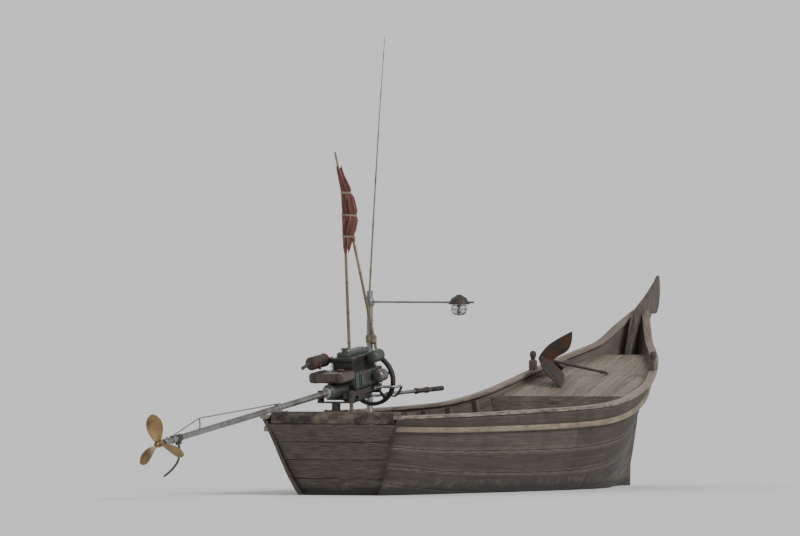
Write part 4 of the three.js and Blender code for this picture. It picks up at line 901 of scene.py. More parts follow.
def make_transom():
    thick = TRANSOM["thick"]
    piece, cleats = Piece(), Piece()
    levels = [STATIONS[0, 4] + PLANK + 0.002, -0.02, 0.13, 0.28, 0.42, TRANSOM["top"]]
    for i, (low, high) in enumerate(zip(levels, levels[1:])):
        heights = np.linspace(low + (TRANSOM["gap"] if i else 0), high - TRANSOM["gap"], 9)
        half = np.array([max(wall(0.0, z, PLANK) - 0.0006, 0.01) for z in heights])
        outline = [*zip(half, heights), *zip(-half[::-1], heights[::-1])]
        piece.slab(outline, 0.0, thick - 0.001 * (i % 2), lambda u, v, depth: (transom_x(v) + depth, u, v),
                   0.005, 2, 120 + i)
    piece.publish("transom_boards", "hull", "transom")
    foot, head = TRANSOM["foot"], TRANSOM["head"]
    for y in np.array((-1, 1)) * TRANSOM["cleat"] * wall(0.0, head, PLANK) / TRANSOM["top"]:
        low, high = np.array((transom_x(foot), 0.95 * y, 0.05)), np.array((transom_x(head), y, head))
        rings = []
        for share, inset in ((0, 0.006), (0.03, 0), (0.97, 0), (1, 0.006)):
            middle = low * (1 - share) + high * share + (thick + 0.013, 0, 0)
            rings.append(ring_at(middle, rounded(0.028 - inset, 0.05 - inset, 0.005), 2))
        cleats.loft(rings, 126, 0.6)
    cleats.publish("transom_cleats", "inner")


def lay_boards(piece, edges, span, reach, thick, place, board, gap=0.0012):
    """Boards side by side along x, cut off where the hull narrows. reach gives its half breadth at x."""
    for i, (y0, y1) in enumerate(zip(edges, edges[1:])):
        left, right = [], []
        for x in np.linspace(*span, 60):
            a, b = max(y0 + gap, -reach(x)), min(y1 - gap, reach(x))
            if b - a > 0.012:
                left.append((x, a))
                right.append((x, b))
        if len(left) > 2:
            piece.slab(left + right[::-1], -thick, -0.0006 * (i % 3), place, 0.003, 2, board + i)


DECK_TURN = math.atan(DECK_RISE)
DECK_UP = Vector((-math.sin(DECK_TURN), 0, math.cos(DECK_TURN)))


def on_deck(x, y, above):
    return Vector((x, y, deck_height(x))) + DECK_UP * above


def make_foredeck():
    xs, ys = crossing(np.linspace(0.4, 1, 90), PLANK + 0.0008, deck_height)

    def reach(x):
        return float(np.interp(x, xs, ys)) - 0.001

    piece, nails = Piece(), Piece()
    edges = np.linspace(-FOREDECK["half"], FOREDECK["half"], FOREDECK["boards"] + 1)
    lay_boards(piece, edges, (FOREDECK["aft"], FOREDECK["fore"]), reach, FOREDECK["thick"], on_deck, 130)
    low, high = FOREDECK["aftZ"] - FOREDECK["thick"] - FOREDECK["coaming"], FOREDECK["lip"]
    coaming = [(1.35, low), (1.39, low), (1.39, 0.71), (1.38, high), (1.35, high)]
    foot, head = (wall(share_of(1.37), z, PLANK + 0.001) for z in (low, high))
    rings = []
    for y in np.linspace(-1, 1, 9):
        ring = offset_outline(coaming, 0.004 if abs(y) == 1 else 0.0)
        rings.append([(x, y * (foot + (head - foot) * (z - low) / (high - low)), z) for x, z in ring])
    piece.loft(rings, 145, 0.8)
    piece.publish("foredeck_boards", "deck", "foredeck")
    for x in (1.37, 1.78, 2.2):
        for y in (edges[:-1, None] + (0.03, 0.094)).ravel():
            if abs(y) < reach(x) - 0.02:
                nails.turned(NAIL, on_deck(x, y, 0.0362 if x < 1.4 else -0.0012), DECK_UP, 8)
    nails.publish("foredeck_nails", "iron", sharp=60)


def inner_reach(z):
    """Half breadth inside the ribs at height z, as a function of x."""
    xs, ys = crossing(np.linspace(0, 1, 80), PLANK + RIBS["deep"] + 0.004, lambda x: z)
    return lambda x: float(np.interp(x, xs, ys, 0, 0))


def make_floors():
    low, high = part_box("floorboards")
    reach = inner_reach(-0.146)
    floor, stern, beam = Piece(), Piece(), Piece()
    lay_boards(floor, 0.147 * (np.arange(6) - 2.5), (low.x, high.x), reach, 0.0197,
               lambda u, v, depth: (u, v, high.z + depth), 180, 0.006)
    for i in range(4):
        x = -1.695 + 0.86 * i
        half = min(0.33, reach(x) - 0.01)
        floor.block(x - 0.03, x + 0.03, -half, half, -0.164, -0.1458, 0.004, 2, 190 + i, 1)
    floor.publish("bottom_boards", "deck", "floorboards")
    low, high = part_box("stern_deck")
    half = min(-low.y, high.y)
    reach = inner_reach(0.4353)
    edges = np.linspace(-half, half, 6)
    lay_boards(stern, edges, (low.x, high.x), reach, 0.0218,
               lambda u, v, depth: (u, v, high.z + depth), 195, 0.004)
    for x in (-2.74, -2.16):
        stern.block(x, x + 0.05, 0.09 - half, half - 0.09, 0.4105, 0.4355, 0.004, 2, x, 1)
        for y in (edges[:-1, None] + np.array((0.2, 0.8)) * (edges[1] - edges[0])).ravel():
            if abs(y) < reach(x + 0.025) - 0.02:
                stern.turned(NAIL, (x + 0.025, y, high.z - 0.0012), Z, 8)
    stern.publish("stern_boards", "deck", "stern_deck")
    low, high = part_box("engine_beam")
    beam.block(low.x, high.x, low.y, high.y, low.z, high.z, 0.009, 3, 210, 1)
    beam.publish("motor_beam", "hull", "engine_beam")


ANCHOR = {"x": 1.815, "y": 0.376, "heading": -65, "dip": 20.6}
ANCHOR_OUTER = [(-30, 0), (20, 110), (100, 200), (190, 280)]
ANCHOR_INNER = [(190, 280), (205, 190), (190, 110), (120, 40), (90, 0)]
ANCHOR_SPINE = [(10, 12), (62, 100), (125, 176), (176, 246)]


def make_anchor():
    """Three welded plate arms with round stiffeners, a round shank and a ring."""
    laid = Piece(unit=MM)
    outline = np.vstack([[(70, -4), (-22, -4)], curve(ANCHOR_OUTER, 14)[1:], curve(ANCHOR_INNER, 16)[1:]])
    for turn in (0, 120, 240):
        spin = Matrix.Rotation(math.radians(turn), 4, "X")
        laid.slab(outline, -6, 6, lambda u, v, depth: spin @ Vector((u, depth, v)), 3.5, 3, turn)
        path = [spin @ Vector((x, 0, z)) for x, z in curve(ANCHOR_SPINE, 14)]
        laid.tube(path, np.linspace(11.5, 7.5, 14), 10, turn + 1)
    laid.tube([(x, 0, 0) for x in (-20, -16, 0, 30, 60, 300, 480, 490, 506, 510)],
              (8, 11.8, 12, 12.5, 11.8, 11, 10.2, 13.5, 13.5, 9), 14, 9)
    laid.turned((0, -26, 12, -23, 20, -16, 25.5, -4, 25.5, 6, 20, 16, 13, 24, 0, 26))
    laid.tube([(526 + u, v, 0) for u, v in circle(28, 22)], 6, 10, closed=True)
    dip = Matrix.Rotation(math.radians(ANCHOR["dip"]), 4, "Y")
    lowest = min((dip @ point).z for point in laid.points)
    world = (Matrix.Translation((ANCHOR["x"], ANCHOR["y"], deck_height(ANCHOR["x"])))
             @ Matrix.Rotation(-DECK_TURN, 4, "Y") @ Matrix.Rotation(math.radians(ANCHOR["heading"]), 4, "Z")
             @ Matrix.Translation((0, 0, 0.0003 - lowest)) @ dip)
    laid.points = [world @ point for point in laid.points]
    laid.publish("plate_anchor", "muffler", "anchor", 40)


def make_thwarts():
    for name, x, boards in THWARTS:
        low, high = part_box(name)
        piece = Piece()
        wide = (high.x - low.x) / boards
        for i in range(boards):
            x0 = low.x + i * wide + (0.003 if i else 0)
            x1 = low.x + (i + 1) * wide - (0.003 if i < boards - 1 else 0)
            piece.block(x0, x1, low.y, high.y, low.z + 0.0002, high.z - 0.0007 * (i % 2), 0.006, 3,
                        150 + i + 7 * x, 1)
            for d in (0.3, 0.7):
                for y in (high.y - 0.06, 0.06 - high.y):
                    piece.turned(NAIL, (low.x + (i + d) * wide, y, high.z - 0.0012), Z, 8)
        piece.publish(f"{name}_boards", "deck", name)


def make_stem():
    def place(u, v, depth):
        slim = min(max((v - BOW_TIP["low"]) / (BOW_TIP["high"] - BOW_TIP["low"]), 0.0), 1.0)
        return (u, depth * (1 - (1 - BOW_TIP["share"]) * slim), v)

    piece = Piece()
    outline = catmull(STEM_OUTLINE + STEM_OUTLINE[:1], np.linspace(0, 1, 105, endpoint=False))
    piece.slab(outline, -STEM_HALF, STEM_HALF, place, 0.009, 3, 160, 64)
    piece.publish("stem_blade", "hull", "stem_post")


def make_stem_cheeks():
    """Wedges between the stem and the ends of the upper planks."""
    piece = Piece()
    near = STEM_HALF - 0.0005
    for side, _ in SIDES:
        rings = []
        for t in np.linspace(0.5, 0.992, 26):
            (x0, y0, z0), (x1, y1, z1) = hull([0.968, 1.0], t, PLANK - 0.0006)
            y0, y1 = max(y0, STEM_HALF + 0.001), max(y1, STEM_HALF + 0.0006)
            x1 -= 0.002
            rings.append([(x0, near, z0), (x1, near, z1), (x1, y1, z1), (x0, y0, z0)])
        piece.loft(np.array(rings) * (1, side, 1), 165 + side, 0.3)
    piece.publish("stem_cheeks", "inner")


KNOB = (0, -78, 19, -78, 18.5, -60, 20.5, -56, 25.5, -45, 26.8, -34, 26.2, -23, 22.2, -11, 14, -3, 0, 0)


def make_bow_posts():
    """Square posts with a turned neck and knob."""
    for side, name in SIDES:
        low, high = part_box(f"{name}_bow_post")
        (x, y, _), top = (low + high) / 2, high.z
        piece = Piece()
        rings = []
        for z, half in ((low.z + 0.002, 0.027), (top - 0.085, 0.027), (top - 0.079, 0.025),
                        (top - 0.075, 0.021)):
            rings.append(ring_at((x, y, z), rounded(2 * half, 2 * half, 0.006, 3), 2))
        rings[0][:, 2] += (rings[0][:, 0] - x) * 0.34
        piece.loft(rings, 170 + side, 0.7)
        piece.turned(np.array(KNOB) * MM, (x, y, top), Z, 28, 172 + side)
        piece.publish(f"{name}_post", "hull", f"{name}_bow_post")


# Poles, flags and lamp

def bamboo(piece, pole, last, nodes, board):
    """A tapered cane with a ridge at each node."""
    start, end = np.array(pole["foot"]), np.array(pole["top"])
    length = np.linalg.norm(end - start)
    places = [0.0]
    for k in range(1, int(length / nodes) + 1):
        middle = (k * nodes + 0.02 * noise.noise(Vector((k * 3.3, board, 1)))) / length
        if middle > 0.985:
            break
        places += [middle + d / length for d in (-0.012, -0.004, 0, 0.004, 0.014, 0.5 * nodes)]
    places = sorted(p for p in {round(p, 5) for p in places} if 0 <= p < 0.997) + [0.997, 1.0]
    at = np.array(places)
    near = np.abs(at[:, None] * length - nodes * np.arange(1, 40)).min(1)
    swell = 1 + 0.13 * np.exp(-(near / 0.007) ** 2)
    radii = 0.93 * (pole["radius"] + (last - pole["radius"]) * at) * swell
    radii[-1] *= 0.7
    piece.tube(start + (end - start) * at[:, None], radii, 14, board, wear_and_highlight=np.exp(-(near / 0.006) ** 2))


def make_poles():
    upright, leaning, whip = Piece(), Piece(), Piece(MAST)
    bamboo(upright, POLE_A, 0.011, 0.24, 1)
    upright.publish("upright_cane", "bamboo", "flag_pole_upright", 60)
    bamboo(leaning, POLE_B, 0.009, 0.21, 2)
    leaning.publish("leaning_cane", "bamboo", "flag_pole_leaning", 60)
    path = curve([(0, 0, 1.5303), (0, 0, 1.62), (0, -0.04, 2.3), (0, -0.085, 3), (0, -0.132, 3.62)], 49)
    up = (path[:, 2] - path[0, 2]) / (path[-1, 2] - path[0, 2])
    node = np.arange(49) % 6 == 3
    whip.tube(path, 0.0082 * (1 - 0.72 * up) + 0.0012 * node, 10, 3, wear_and_highlight=0.8 * node)
    whip.publish("whip_cane", "bamboo", "whip", 60)


def make_stanchion():
    pipe, ring = Piece(MAST, MM), Piece(MAST, MM)
    pipe.turned((0, 465.6, 46, 465.6, 48, 467.6, 48, 473.6, 46, 475.6, 33, 475.6, 28, 479.6, 25, 487.6,
                 25, 1572, 25, 1598, 23, 1600, 11.2, 1600, 10.8, 1598, 10.8, 1532, 0, 1532),
                line=Z, sides=28)
    for u, v in circle(4, 37, math.pi / 4):
        pipe.bolt((u, v, 475.4), Z, 5.5)
    for z in (900, 1360):
        pipe.turned((24, z - 12, 27, z - 10, 27, z + 10, 24, z + 12), line=Z, sides=28)
    pipe.publish("stanchion_pipe", "steel", "lamp_stanchion", 40)
    low, high = (corner.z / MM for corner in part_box("boom_stop_ring"))
    ring.turned((26.2, low + 1, 33, low, 34, low + 1, 34, high - 1.2, 33, high - 0.4, 26.2, high - 0.4),
                line=Z, sides=28)
    ring.bolt((33.5, 0, (low + high) / 2), X, 3.2)
    ring.publish("stop_ring", "steel", "boom_stop_ring", 40)


def winding(centres, radii, z0, z1, turns, steps=26):
    """A rope path that winds round two round posts standing side by side, as one band."""
    gap = centres[1] - centres[0]
    line = math.atan2(gap[1], gap[0])
    path = []
    for i in range(turns * steps + 1):
        a = 2 * math.pi * (i / steps % 1.0)
        post = int(math.cos(a) >= 0)
        x, y = centres[post] + radii[post] * np.array((math.cos(a + line), math.sin(a + line)))
        path.append((x, y, z0 + (z1 - z0) * i / (turns * steps)))
    return path


def pole_at(pole, z):
    foot, top = np.array(pole["foot"]), np.array(pole["top"])
    return foot + (top - foot) * (z - foot[2]) / (top[2] - foot[2])


def make_lashing():
    piece = Piece()
    thick, z = 0.0042, 1.215
    centres = np.array([(STANCHION["x"], STANCHION["y"]), pole_at(POLE_B, z)[:2]])
    radii = np.array((STANCHION["radius"], POLE_B["radius"])) + thick + 0.001
    piece.tube(winding(centres, radii, z - 0.031, z + 0.031, 7), thick, 8, 1)
    far = np.linalg.norm(centres[1] - centres[0])
    line = (centres[1] - centres[0]) / far
    middle = centres[0] + line * (radii[0] + far - radii[1]) / 2
    across = np.array([-line[1], line[0]])
    wraps = []
    for i in range(61):
        a = 2 * math.pi * i / 20
        x, y = middle + line * (i / 60 - 0.5) * 0.012 + across * 0.031 * math.cos(a)
        wraps.append((x, y, z + 0.0385 * math.sin(a)))
    piece.tube(wraps, thick * 0.9, 8, 2)
    piece.publish("lashing_rope", "rope", "pole_lashing", 60)


CLOTH = {"rows": 130, "columns": 260, "pleats": 8, "thick": 0.0011, "flat": (0.56, 0.66)}
TIES = (2.03, 2.2, 2.38)


def bundle_middle(z):
    """The bundle's middle and radius at height z, drawn in where it is tied."""
    share = np.interp(z, BUNDLE[:, 2], np.linspace(0, 1, len(BUNDLE)))
    x, y, _, radius = catmull(BUNDLE, share)
    near = min(abs(z - tie) for tie in TIES)
    return x, y, radius * (1 - 0.26 * math.exp(-(near / 0.022) ** 2)), share


def cane_lobe(x, y, z, angle):
    """How far the cloth must reach at this angle to go round the canes."""
    far = 0.0
    for pole, start in ((POLE_A, 0.0), (POLE_B, 1.99)):
        dx, dy, _ = pole_at(pole, z) - (x, y, z)
        away, radius = math.hypot(dx, dy), pole["radius"] + 0.0035
        if away > 0.085 or not max(pole["foot"][2], start) < z < pole["top"][2]:
            continue
        turn = (angle - math.atan2(dy, dx) + math.pi) % (2 * math.pi) - math.pi
        far = max(far, (away + radius) * math.exp(-(turn / 0.5) ** 2))
        aside = away * math.sin(turn)
        if abs(aside) < radius:
            far = max(far, away * math.cos(turn) + math.sqrt(radius ** 2 - aside ** 2))
    return far


def fold(a, share, radius, lobe):
    """The cloth's reach, hem and pleat at angle a round the bundle."""
    pleat = math.sin(CLOTH["pleats"] * a + 2.2 * math.sin(2.1 * share + a) + 5 * share)
    pleat = 0.7 * pleat + 0.42 * math.sin(19 * a + 3 * math.sin(5 * share + 2 * a) + 9 * share)
    c, s = math.cos(a), math.sin(a)
    deep = 0.2 + 0.1 * noise.noise(Vector((c, s, share * 3)))
    ripple = 0.05 * noise.noise(Vector((c * 2.2, s * 2.2, share * 14)))
    small = 0.02 * noise.noise(Vector((c * 8, s * 8, share * 40)))
    size = radius * (0.82 + deep * pleat * 0.75 + ripple + small)
    hem = 0.022 * math.sin(3 * a + 1) + 0.012 * math.sin(7 * a)
    hem *= max(0, 1 - share / 0.2) ** 2 - max(0, 1 - (1 - share) / 0.12) ** 2
    return max(size, lobe * (1 + 0.03 * pleat), 0.0115), hem, pleat


def make_flags():
    """Two furled flags: pleated cloth gathered round both canes and tied."""
    rows, columns = CLOTH["rows"], CLOTH["columns"]
    points, grain, wear_and_highlight = [], [], []
    along, last = 0.0, None
    for z in np.linspace(BUNDLE[0, 2], BUNDLE[-1, 2], rows):
        x, y, radius, share = bundle_middle(z)
        along += math.dist(last, (x, y, z)) if last else 0
        last = (x, y, z)
        for a in 2 * math.pi * np.arange(columns) / (columns - 1):
            angle = a + 1.1 * share + 0.5 * math.sin(3 * share)
            size, hem, pleat = fold(a, share, radius, cane_lobe(x, y, z, angle))
            points.append((x + size * math.cos(angle), y + size * math.sin(angle), z + hem))
            grain.append((along, a * 0.07, 1.0))
            # The cloth's per-point weight is its pleats' outward crest, which the cloth material paints as a
            # highlight.
            wear_and_highlight.append(max(pleat, 0.0))
    piece = Piece()
    piece.add(points, grid(rows, columns, False), grain, wear_and_highlight)
    made = piece.publish("furled_flags", "cloth", "flag_bundle", 80)
    thick = made.modifiers.new("cloth", "SOLIDIFY")
    thick.thickness = CLOTH["thick"]
    band = tie_flags()
    wide, long = CLOTH["flat"]


def tie_flags():
    """Three turns of line round the bundle at each tie, with a knot and a hanging end."""
    ties = Piece()
    turns = 2 * np.pi * np.arange(60) / 60
    for z in TIES:
        x, y, radius, _ = bundle_middle(z)
        reach = [max(radius * 0.93, cane_lobe(x, y, z, a) + 0.003) for a in turns]
        for k in (-0.0055, 0.0, 0.0055):
            path = np.stack([x + reach * np.cos(turns), y + reach * np.sin(turns),
                             z + k + 0.002 * np.sin(turns)], 1)
            ties.tube(path, 0.0028, 7, 5, True)
        end = [(x - radius * out, y + aside, z + up) for out, aside, up in (
            (0.96, 0.006, 0.006), (1.08, 0, 0), (1.1, -0.008, -0.03), (1.06, -0.004, -0.06))]
        ties.tube(curve(end, 12), 0.0026, 7, 6)
        knot = (0, -0.007, 0.006, -0.005, 0.008, 0, 0.006, 0.005, 0, 0.007)
        ties.turned(knot, (x - radius * 1.02, y, z), Z, 10)
    return ties.publish("flag_ties", "rope", sharp=60)


SHADE = (
    0, 1572, 12, 1571, 24, 1567, 34, 1558, 50, 1549, 60, 1544, 72, 1524, 82, 1508, 84.5, 1502, 85.2, 1496,
    84, 1492.5, 81.5, 1493, 80.5, 1498, 78, 1505, 67, 1522, 56, 1538, 30, 1550, 30, 1530, 26, 1528,
    26, 1492.5, 0, 1492.5)
SOCKET = (0, 1490.5, 17, 1490.5, 17, 1474, 13, 1471, 13, 1467, 0, 1467)
BULB = (0, 1468, 9, 1467, 12, 1458, 18, 1447, 19, 1438, 15, 1428, 8, 1423, 0, 1422.2)
JAR = np.array([(46, 1491.2), (53, 1483), (59.5, 1470), (60.5, 1455), (58, 1440), (50, 1425), (36, 1413),
                (18, 1408.5)])
GUARD = [(61.5, 1491.5), (64, 1470), (65.5, 1452), (61.5, 1434), (53, 1421), (36, 1410.5), (10, 1405.5),
         (0, 1405.2)]


def make_lamp():
    boom = Piece(MAST, MM, "boom")
    z = BOOM_Z
    boom.turned((26, -23, 27, -24, 35, -24, 36, -22, 36, 22, 35, 24, 27, 24, 26, 23), (0, 0, z), Z, 30)
    boom.tube([(0, -d, z) for d in (30, 50, 300, 600, 900, 915, 920)], (12, 8, 8, 8, 8, 6.8, 3.2), 14)
    boom.bolt((35, 0, z), X, 4.5)
    for d in (-30, 30):
        boom.turned((8, -5, 11.5, -4, 11.5, 4, 8, 5), (0, d - LAMP_OUT, z), Y, 16)
    boom.publish("boom_pipe", "steel", "lamp_boom", 40)
    hung = MAST @ Matrix.Translation((0, -LAMP_OUT * MM, 0))
    cap, glass, inside, guard = (Piece(hung, MM, "boom") for _ in range(4))
    cap.turned(SHADE, line=Z, sides=36)
    for u, v in circle(4, 54, math.pi / 4):
        cap.turned((0, 3.5, 4, 2, 5, -1, 0, -2), (u, v, 1546.5), Z, 8)
    cap.publish("lamp_shade", "iron", "lamp_cap", 40)
    inner = JAR[:0:-1] + (-2.5, 2.5)
    glass.turned(np.vstack([JAR, [(0, 1408), (0, 1410.5)], inner, [(43.5, 1491.2)]]), line=Z, sides=36)
    glass.publish("lamp_jar", "glass", "lamp_glass", 60)
    for profile in (SOCKET, BULB):
        inside.turned(profile, line=Z, sides=20)
    inside.publish("lamp_bulb", "steel", sharp=60)
    for height, radius in ((1486, 61.5), (1452, 65.5), (1421, 53)):
        guard.tube([(u, v, height) for u, v in circle(36, radius)], 1.6, 6, closed=True)
    for u, v in circle(6, 1, math.radians(15)):
        guard.tube([(r * u, r * v, height) for r, height in GUARD], 1.6, 6)
    guard.publish("lamp_guard", "iron", sharp=60)


# Engine, in millimetres on the crankshaft's line

def engine_piece(body="engine"):
    return Piece(CRANK, MM, body)


def make_crankcase():
    piece = engine_piece()
    piece.block(AFT, FORE, -95, 95, -58.7, -9, 12, 3)
    piece.block(AFT, FORE, -124, 124, -15.7, MID, 16, 3)
    piece.block(AFT + 100, FORE - 80, -70, 70, -125, -50, 18, 3)
    for x in (AFT + 4, FORE - 16):
        piece.block(x, x + 12, -132, 132, -15.7, MID, 5)
    for x in np.linspace(AFT + 70, FORE - 80, 5):
        piece.pair(x - 4, x + 4, 120, 131, -12, MID - 10, 3)
    piece.pair(190, 330, 122, 133, 4, 100, 4)
    for side in (-1, 1):
        for x in (200, 260, 320):
            for z in (13, 91):
                piece.bolt((x, side * 132.8, z), (0, side, 0), 5.5)
    piece.pair(AFT, AFT + 30, 60, 128, -15.7, 30, 6)
    piece.turned((18, -4, 60, -4, 60, 2, 50, 4, 46, 12, 40, 14, 20, 14), (FORE, 0, 0), sides=32)
    piece.bolt_ring((FORE + 1.5, 0, 0), X, 54, 6, 4)
    piece.block(260, 360, -45, 45, -131, -123, 3)
    piece.turned((0, 0, 11, 0, 11, 6, 7, 8, 0, 8), (300, 0, -134.5), DOWN, 6)
    piece.turned((0, 0, 20, 0, 20, 12, 16, 16, 0, 17), (440, -124, 50), STARBOARD, 20)
    piece.publish("engine_crankcase", "engine", "crankcase", 35)


def make_cylinder():
    piece = engine_piece()
    piece.block(AFT + 22, FORE - 32, -84, 84, MID + 0.4, TOP - 0.4, 14, 3)
    for z in np.arange(MID + 9, TOP - 4, 9.8):
        for x0, x1 in ((AFT + 12, 305), (309, FORE - 22)):
            piece.block(x0, x1, -100, 100, z, z + 4.2, 2)
    piece.block(AFT + 16, FORE - 26, -96, 96, MID + 0.4, MID + 6, 2.5)
    piece.publish("finned_cylinders", "engine", "cylinder_block", 35)


def make_head():
    piece = engine_piece()
    piece.block(AFT + 16, FORE - 26, -98, 98, TOP + 0.4, TOP + 32, 6, 3)
    for z in (TOP + 6, TOP + 15.5, TOP + 25):
        piece.block(AFT + 10, FORE - 20, -104, 104, z, z + 4, 1.8)
    piece.block(AFT + 40, FORE - 50, -58, 58, TOP + 28, TOP + 72, 16, 4)
    piece.block(AFT + 34, FORE - 44, -63, 63, TOP + 31.5, TOP + 38, 3)
    for x in np.linspace(AFT + 70, FORE - 80, 6):
        piece.block(x - 2.5, x + 2.5, -50, 50, TOP + 65, TOP + 74.5, 2)
    for x in np.linspace(AFT + 30, FORE - 40, 5):
        for y in (-84, 84):
            piece.bolt((x, y, TOP + 31.5), Z, 7.5)
    for x in (AFT + 55, 310, FORE - 65):
        piece.bolt((x, 0, TOP + 71.5), Z, 6)
    x = AFT + 80
    piece.turned((0, 66, 26, 66, 26, 76, 21, 80, 21, 88, 27, 88.5, 28, 91, 28, 100, 25, 104, 0, 105),
                 (x, 0, TOP), Z, 28)
    for u, v in circle(12, 27.5):
        piece.block(x + u - 1.6, x + u + 1.6, v - 1.6, v + 1.6, TOP + 89, TOP + 100, 1, 1)
    piece.publish("engine_head", "engine", "cylinder_head", 35)


def make_air_cleaner():
    piece = engine_piece()
    y, z = -168, TOP + 14
    piece.turned((0, 300, 30, 300, 41, 303, 47, 310, 50, 318, 50, 330, 48.5, 332, 48.5, 338, 50, 340,
                  50, 398, 48.5, 400, 48.5, 406, 50, 408, 50, 424, 47, 433, 40, 439, 28, 440, 12, 440,
                  10, 443, 0, 443), (0, y, z), sides=36)
    piece.flutes(14, (y, z), 49, (344, 349, 389, 394), (1, 2.4, 2.4, 1))
    piece.tube([(360, reach, z) for reach in (-104.8, -118, -135)], 18, 18)
    piece.turned((17, 0, 30, 0, 30, 6, 17, 6), (360, -104.7, z), STARBOARD, 20)
    piece.block(452, 455, y - 14, y + 14, z - 3, z + 3, 1.4)
    piece.turned((0, 440, 4, 440, 4, 456, 0, 457), (0, y, z), sides=12)
    piece.publish("air_filter_can", "engine", "air_cleaner", 35)


def make_muffler():
    piece = engine_piece()
    y, z = 176, TOP + 12
    piece.turned((0, -70, 26, -70, 34, -67, 45, -60, 51.5, -54, 53.5, -53, 53.5, -48, 52, -46, 52, 20,
                  53.2, 22, 53.2, 27, 52, 29, 52, 143, 53.5, 145, 53.5, 150, 51.5, 151, 45, 157,
                  34, 164, 26, 166, 0, 166), (0, y, z), sides=36)
    piece.tube([(140, reach, z + 3) for reach in (104.8, 118, 140)], 17, 18)
    piece.block(112, 168, 104.6, 111, z - 20, z + 26, 4)
    for x in (119, 161):
        piece.bolt((x, 110.8, z + 3), Y, 6)
    pipe = curve([(-60, y, z), (-110, y, z), (-165, y + 20, z - 22)], 12)
    piece.tube(pipe, 13.5, 18)
    piece.tube([pipe[0] - (6, 0, 0), pipe[0] + (1, 0, 0)], 20, 18)
    piece.block(-20, 0, y - 60, y - 45, z - 50, z + 20, 3)
    piece.publish("exhaust_box", "muffler", "muffler", 35)


def make_alternator():
    piece = engine_piece()
    y, z = -184, 60
    piece.turned((0, 340, 30, 340, 42, 343, 47, 350, 48, 354, 48, 384, 46, 386, 46, 404, 48, 406, 48, 436,
                  46, 443, 40, 449, 30, 450, 12, 450, 0, 450), (0, y, z), sides=36)
    for places in ((354, 358, 380, 383), (408, 411, 434, 438)):
        piece.flutes(16, (y, z), 47, places, (1.2, 3, 3, 1.2))
    piece.block(370, 420, -158, -132.4, 20, 90, 4)
    for height in (30, 80):
        piece.bolt((395, -155, height), STARBOARD, 5.5)
    piece.publish("dynamo", "steel", "alternator", 35)


def tank_ring(y, inset, corner):
    """The tank's outline at y, drawn in by inset, in metres."""
    wide, high = TANK["fore"] - TANK["aft"], TANK["high"] - TANK["low"]
    middle = (TANK["aft"] + wide / 2, y, TANK["low"] + high / 2)
    return MM * ring_at(middle, rounded(wide - 2 * inset, high - 2 * inset, corner, 5), 1)


def make_tank():
    tank, straps = engine_piece(), engine_piece()
    low, high, across = TANK["low"], TANK["high"], TANK["port"] + TANK["starboard"]
    turns = [math.radians(a) for a in (0, 20, 45, 70, 90)]
    ends = [(TANK["starboard"] + 20 * (1 - math.cos(t)), 20 * (1 - math.sin(t))) for t in turns]
    fold_line = [(across / 2 + d, inset) for d, inset in ((-4, 0), (-3.5, -2.2), (3.5, -2.2), (4, 0))]
    ends += fold_line + [(across - y, inset) for y, inset in reversed(ends)]
    tank.loft([tank_ring(y, inset, max(28 - inset, 4)) for y, inset in ends], 1)
    tank.block(TANK["fore"] - 12, AFT - 0.4, -60, 60, low + 12, low + 44, 3)
    cap = (0, -4, 26, -4, 26, 1, 20, 3, 20, 7, 25, 8, 25.5, 17, 22, 20, 0, 20.5)
    tank.turned(cap, (-20, -70, high), Z, 28)
    tank.publish("tank_shell_piece", "tank", "fuel_tank", 35)
    for y in (-85, 120):
        sections = ((-11, -0.2), (-10.5, -1.6), (10.5, -1.6), (11, -0.2))
        straps.loft([tank_ring(y + dy, inset, 28) for dy, inset in sections], 2, caps=False)
        straps.bolt((TANK["aft"] - 1.2, y, (low + high) / 2), (-1, 0, 0), 5)
    straps.turned((0, 0, 8, 0, 8, 4, 4.5, 6, 4.5, 14, 0, 14), (-90, 0, low + 1), DOWN, 12)
    straps.publish("tank_straps", "iron", sharp=35)


def make_coupling():
    bell, tail = engine_piece(), engine_piece()
    bell.turned((20, -135, 48, -135, 50, -132, 53, -125, 61, -107, 62, -100, 62, -20, 63.5, -18,
                 63.5, -8, 62, -6, 62, 85.6, 62.5, 87.6, 62.5, 98.6, 61.5, 99.6, 48, 99.6, 48, -100,
                 20, -120), sides=40)
    bell.flutes(8, (0, 0), 60.5, (-95, -88, -30, -22), (1.5, 3.5, 3.5, 1.5), 8)
    bell.publish("coupling_bell", "engine", "coupling_housing", 35, "iron")
    tail.turned((12.9, -2659.5, 26, -2660, 28.5, -2657, 29, -2654, 29, -2576, 28.5, -2572, 25, -2568,
                 25, -165.3, 29, -153.3, 40, -147.8, 42, -145.3, 42, -135.3, 19, -135.3, 19, -2600,
                 12.9, -2600), sides=32)
    tail.bolt_ring((-147.1, 0, 0), (-1, 0, 0), 34, 6, 4.2, 0.3)
    for x in (-1100, -1750, -2300):
        tail.turned((24, x - 6, 26.6, x - 3, 26.6, x + 3, 24, x + 6), sides=32)
    tail.turned((0, 0, 5, 0, 5, 6, 3, 9, 3, 12, 0, 12.5), (-2610, 0, 28.5), Z, 12)
    tail.publish("tail_pipe", "steel", "tail_tube", 35)


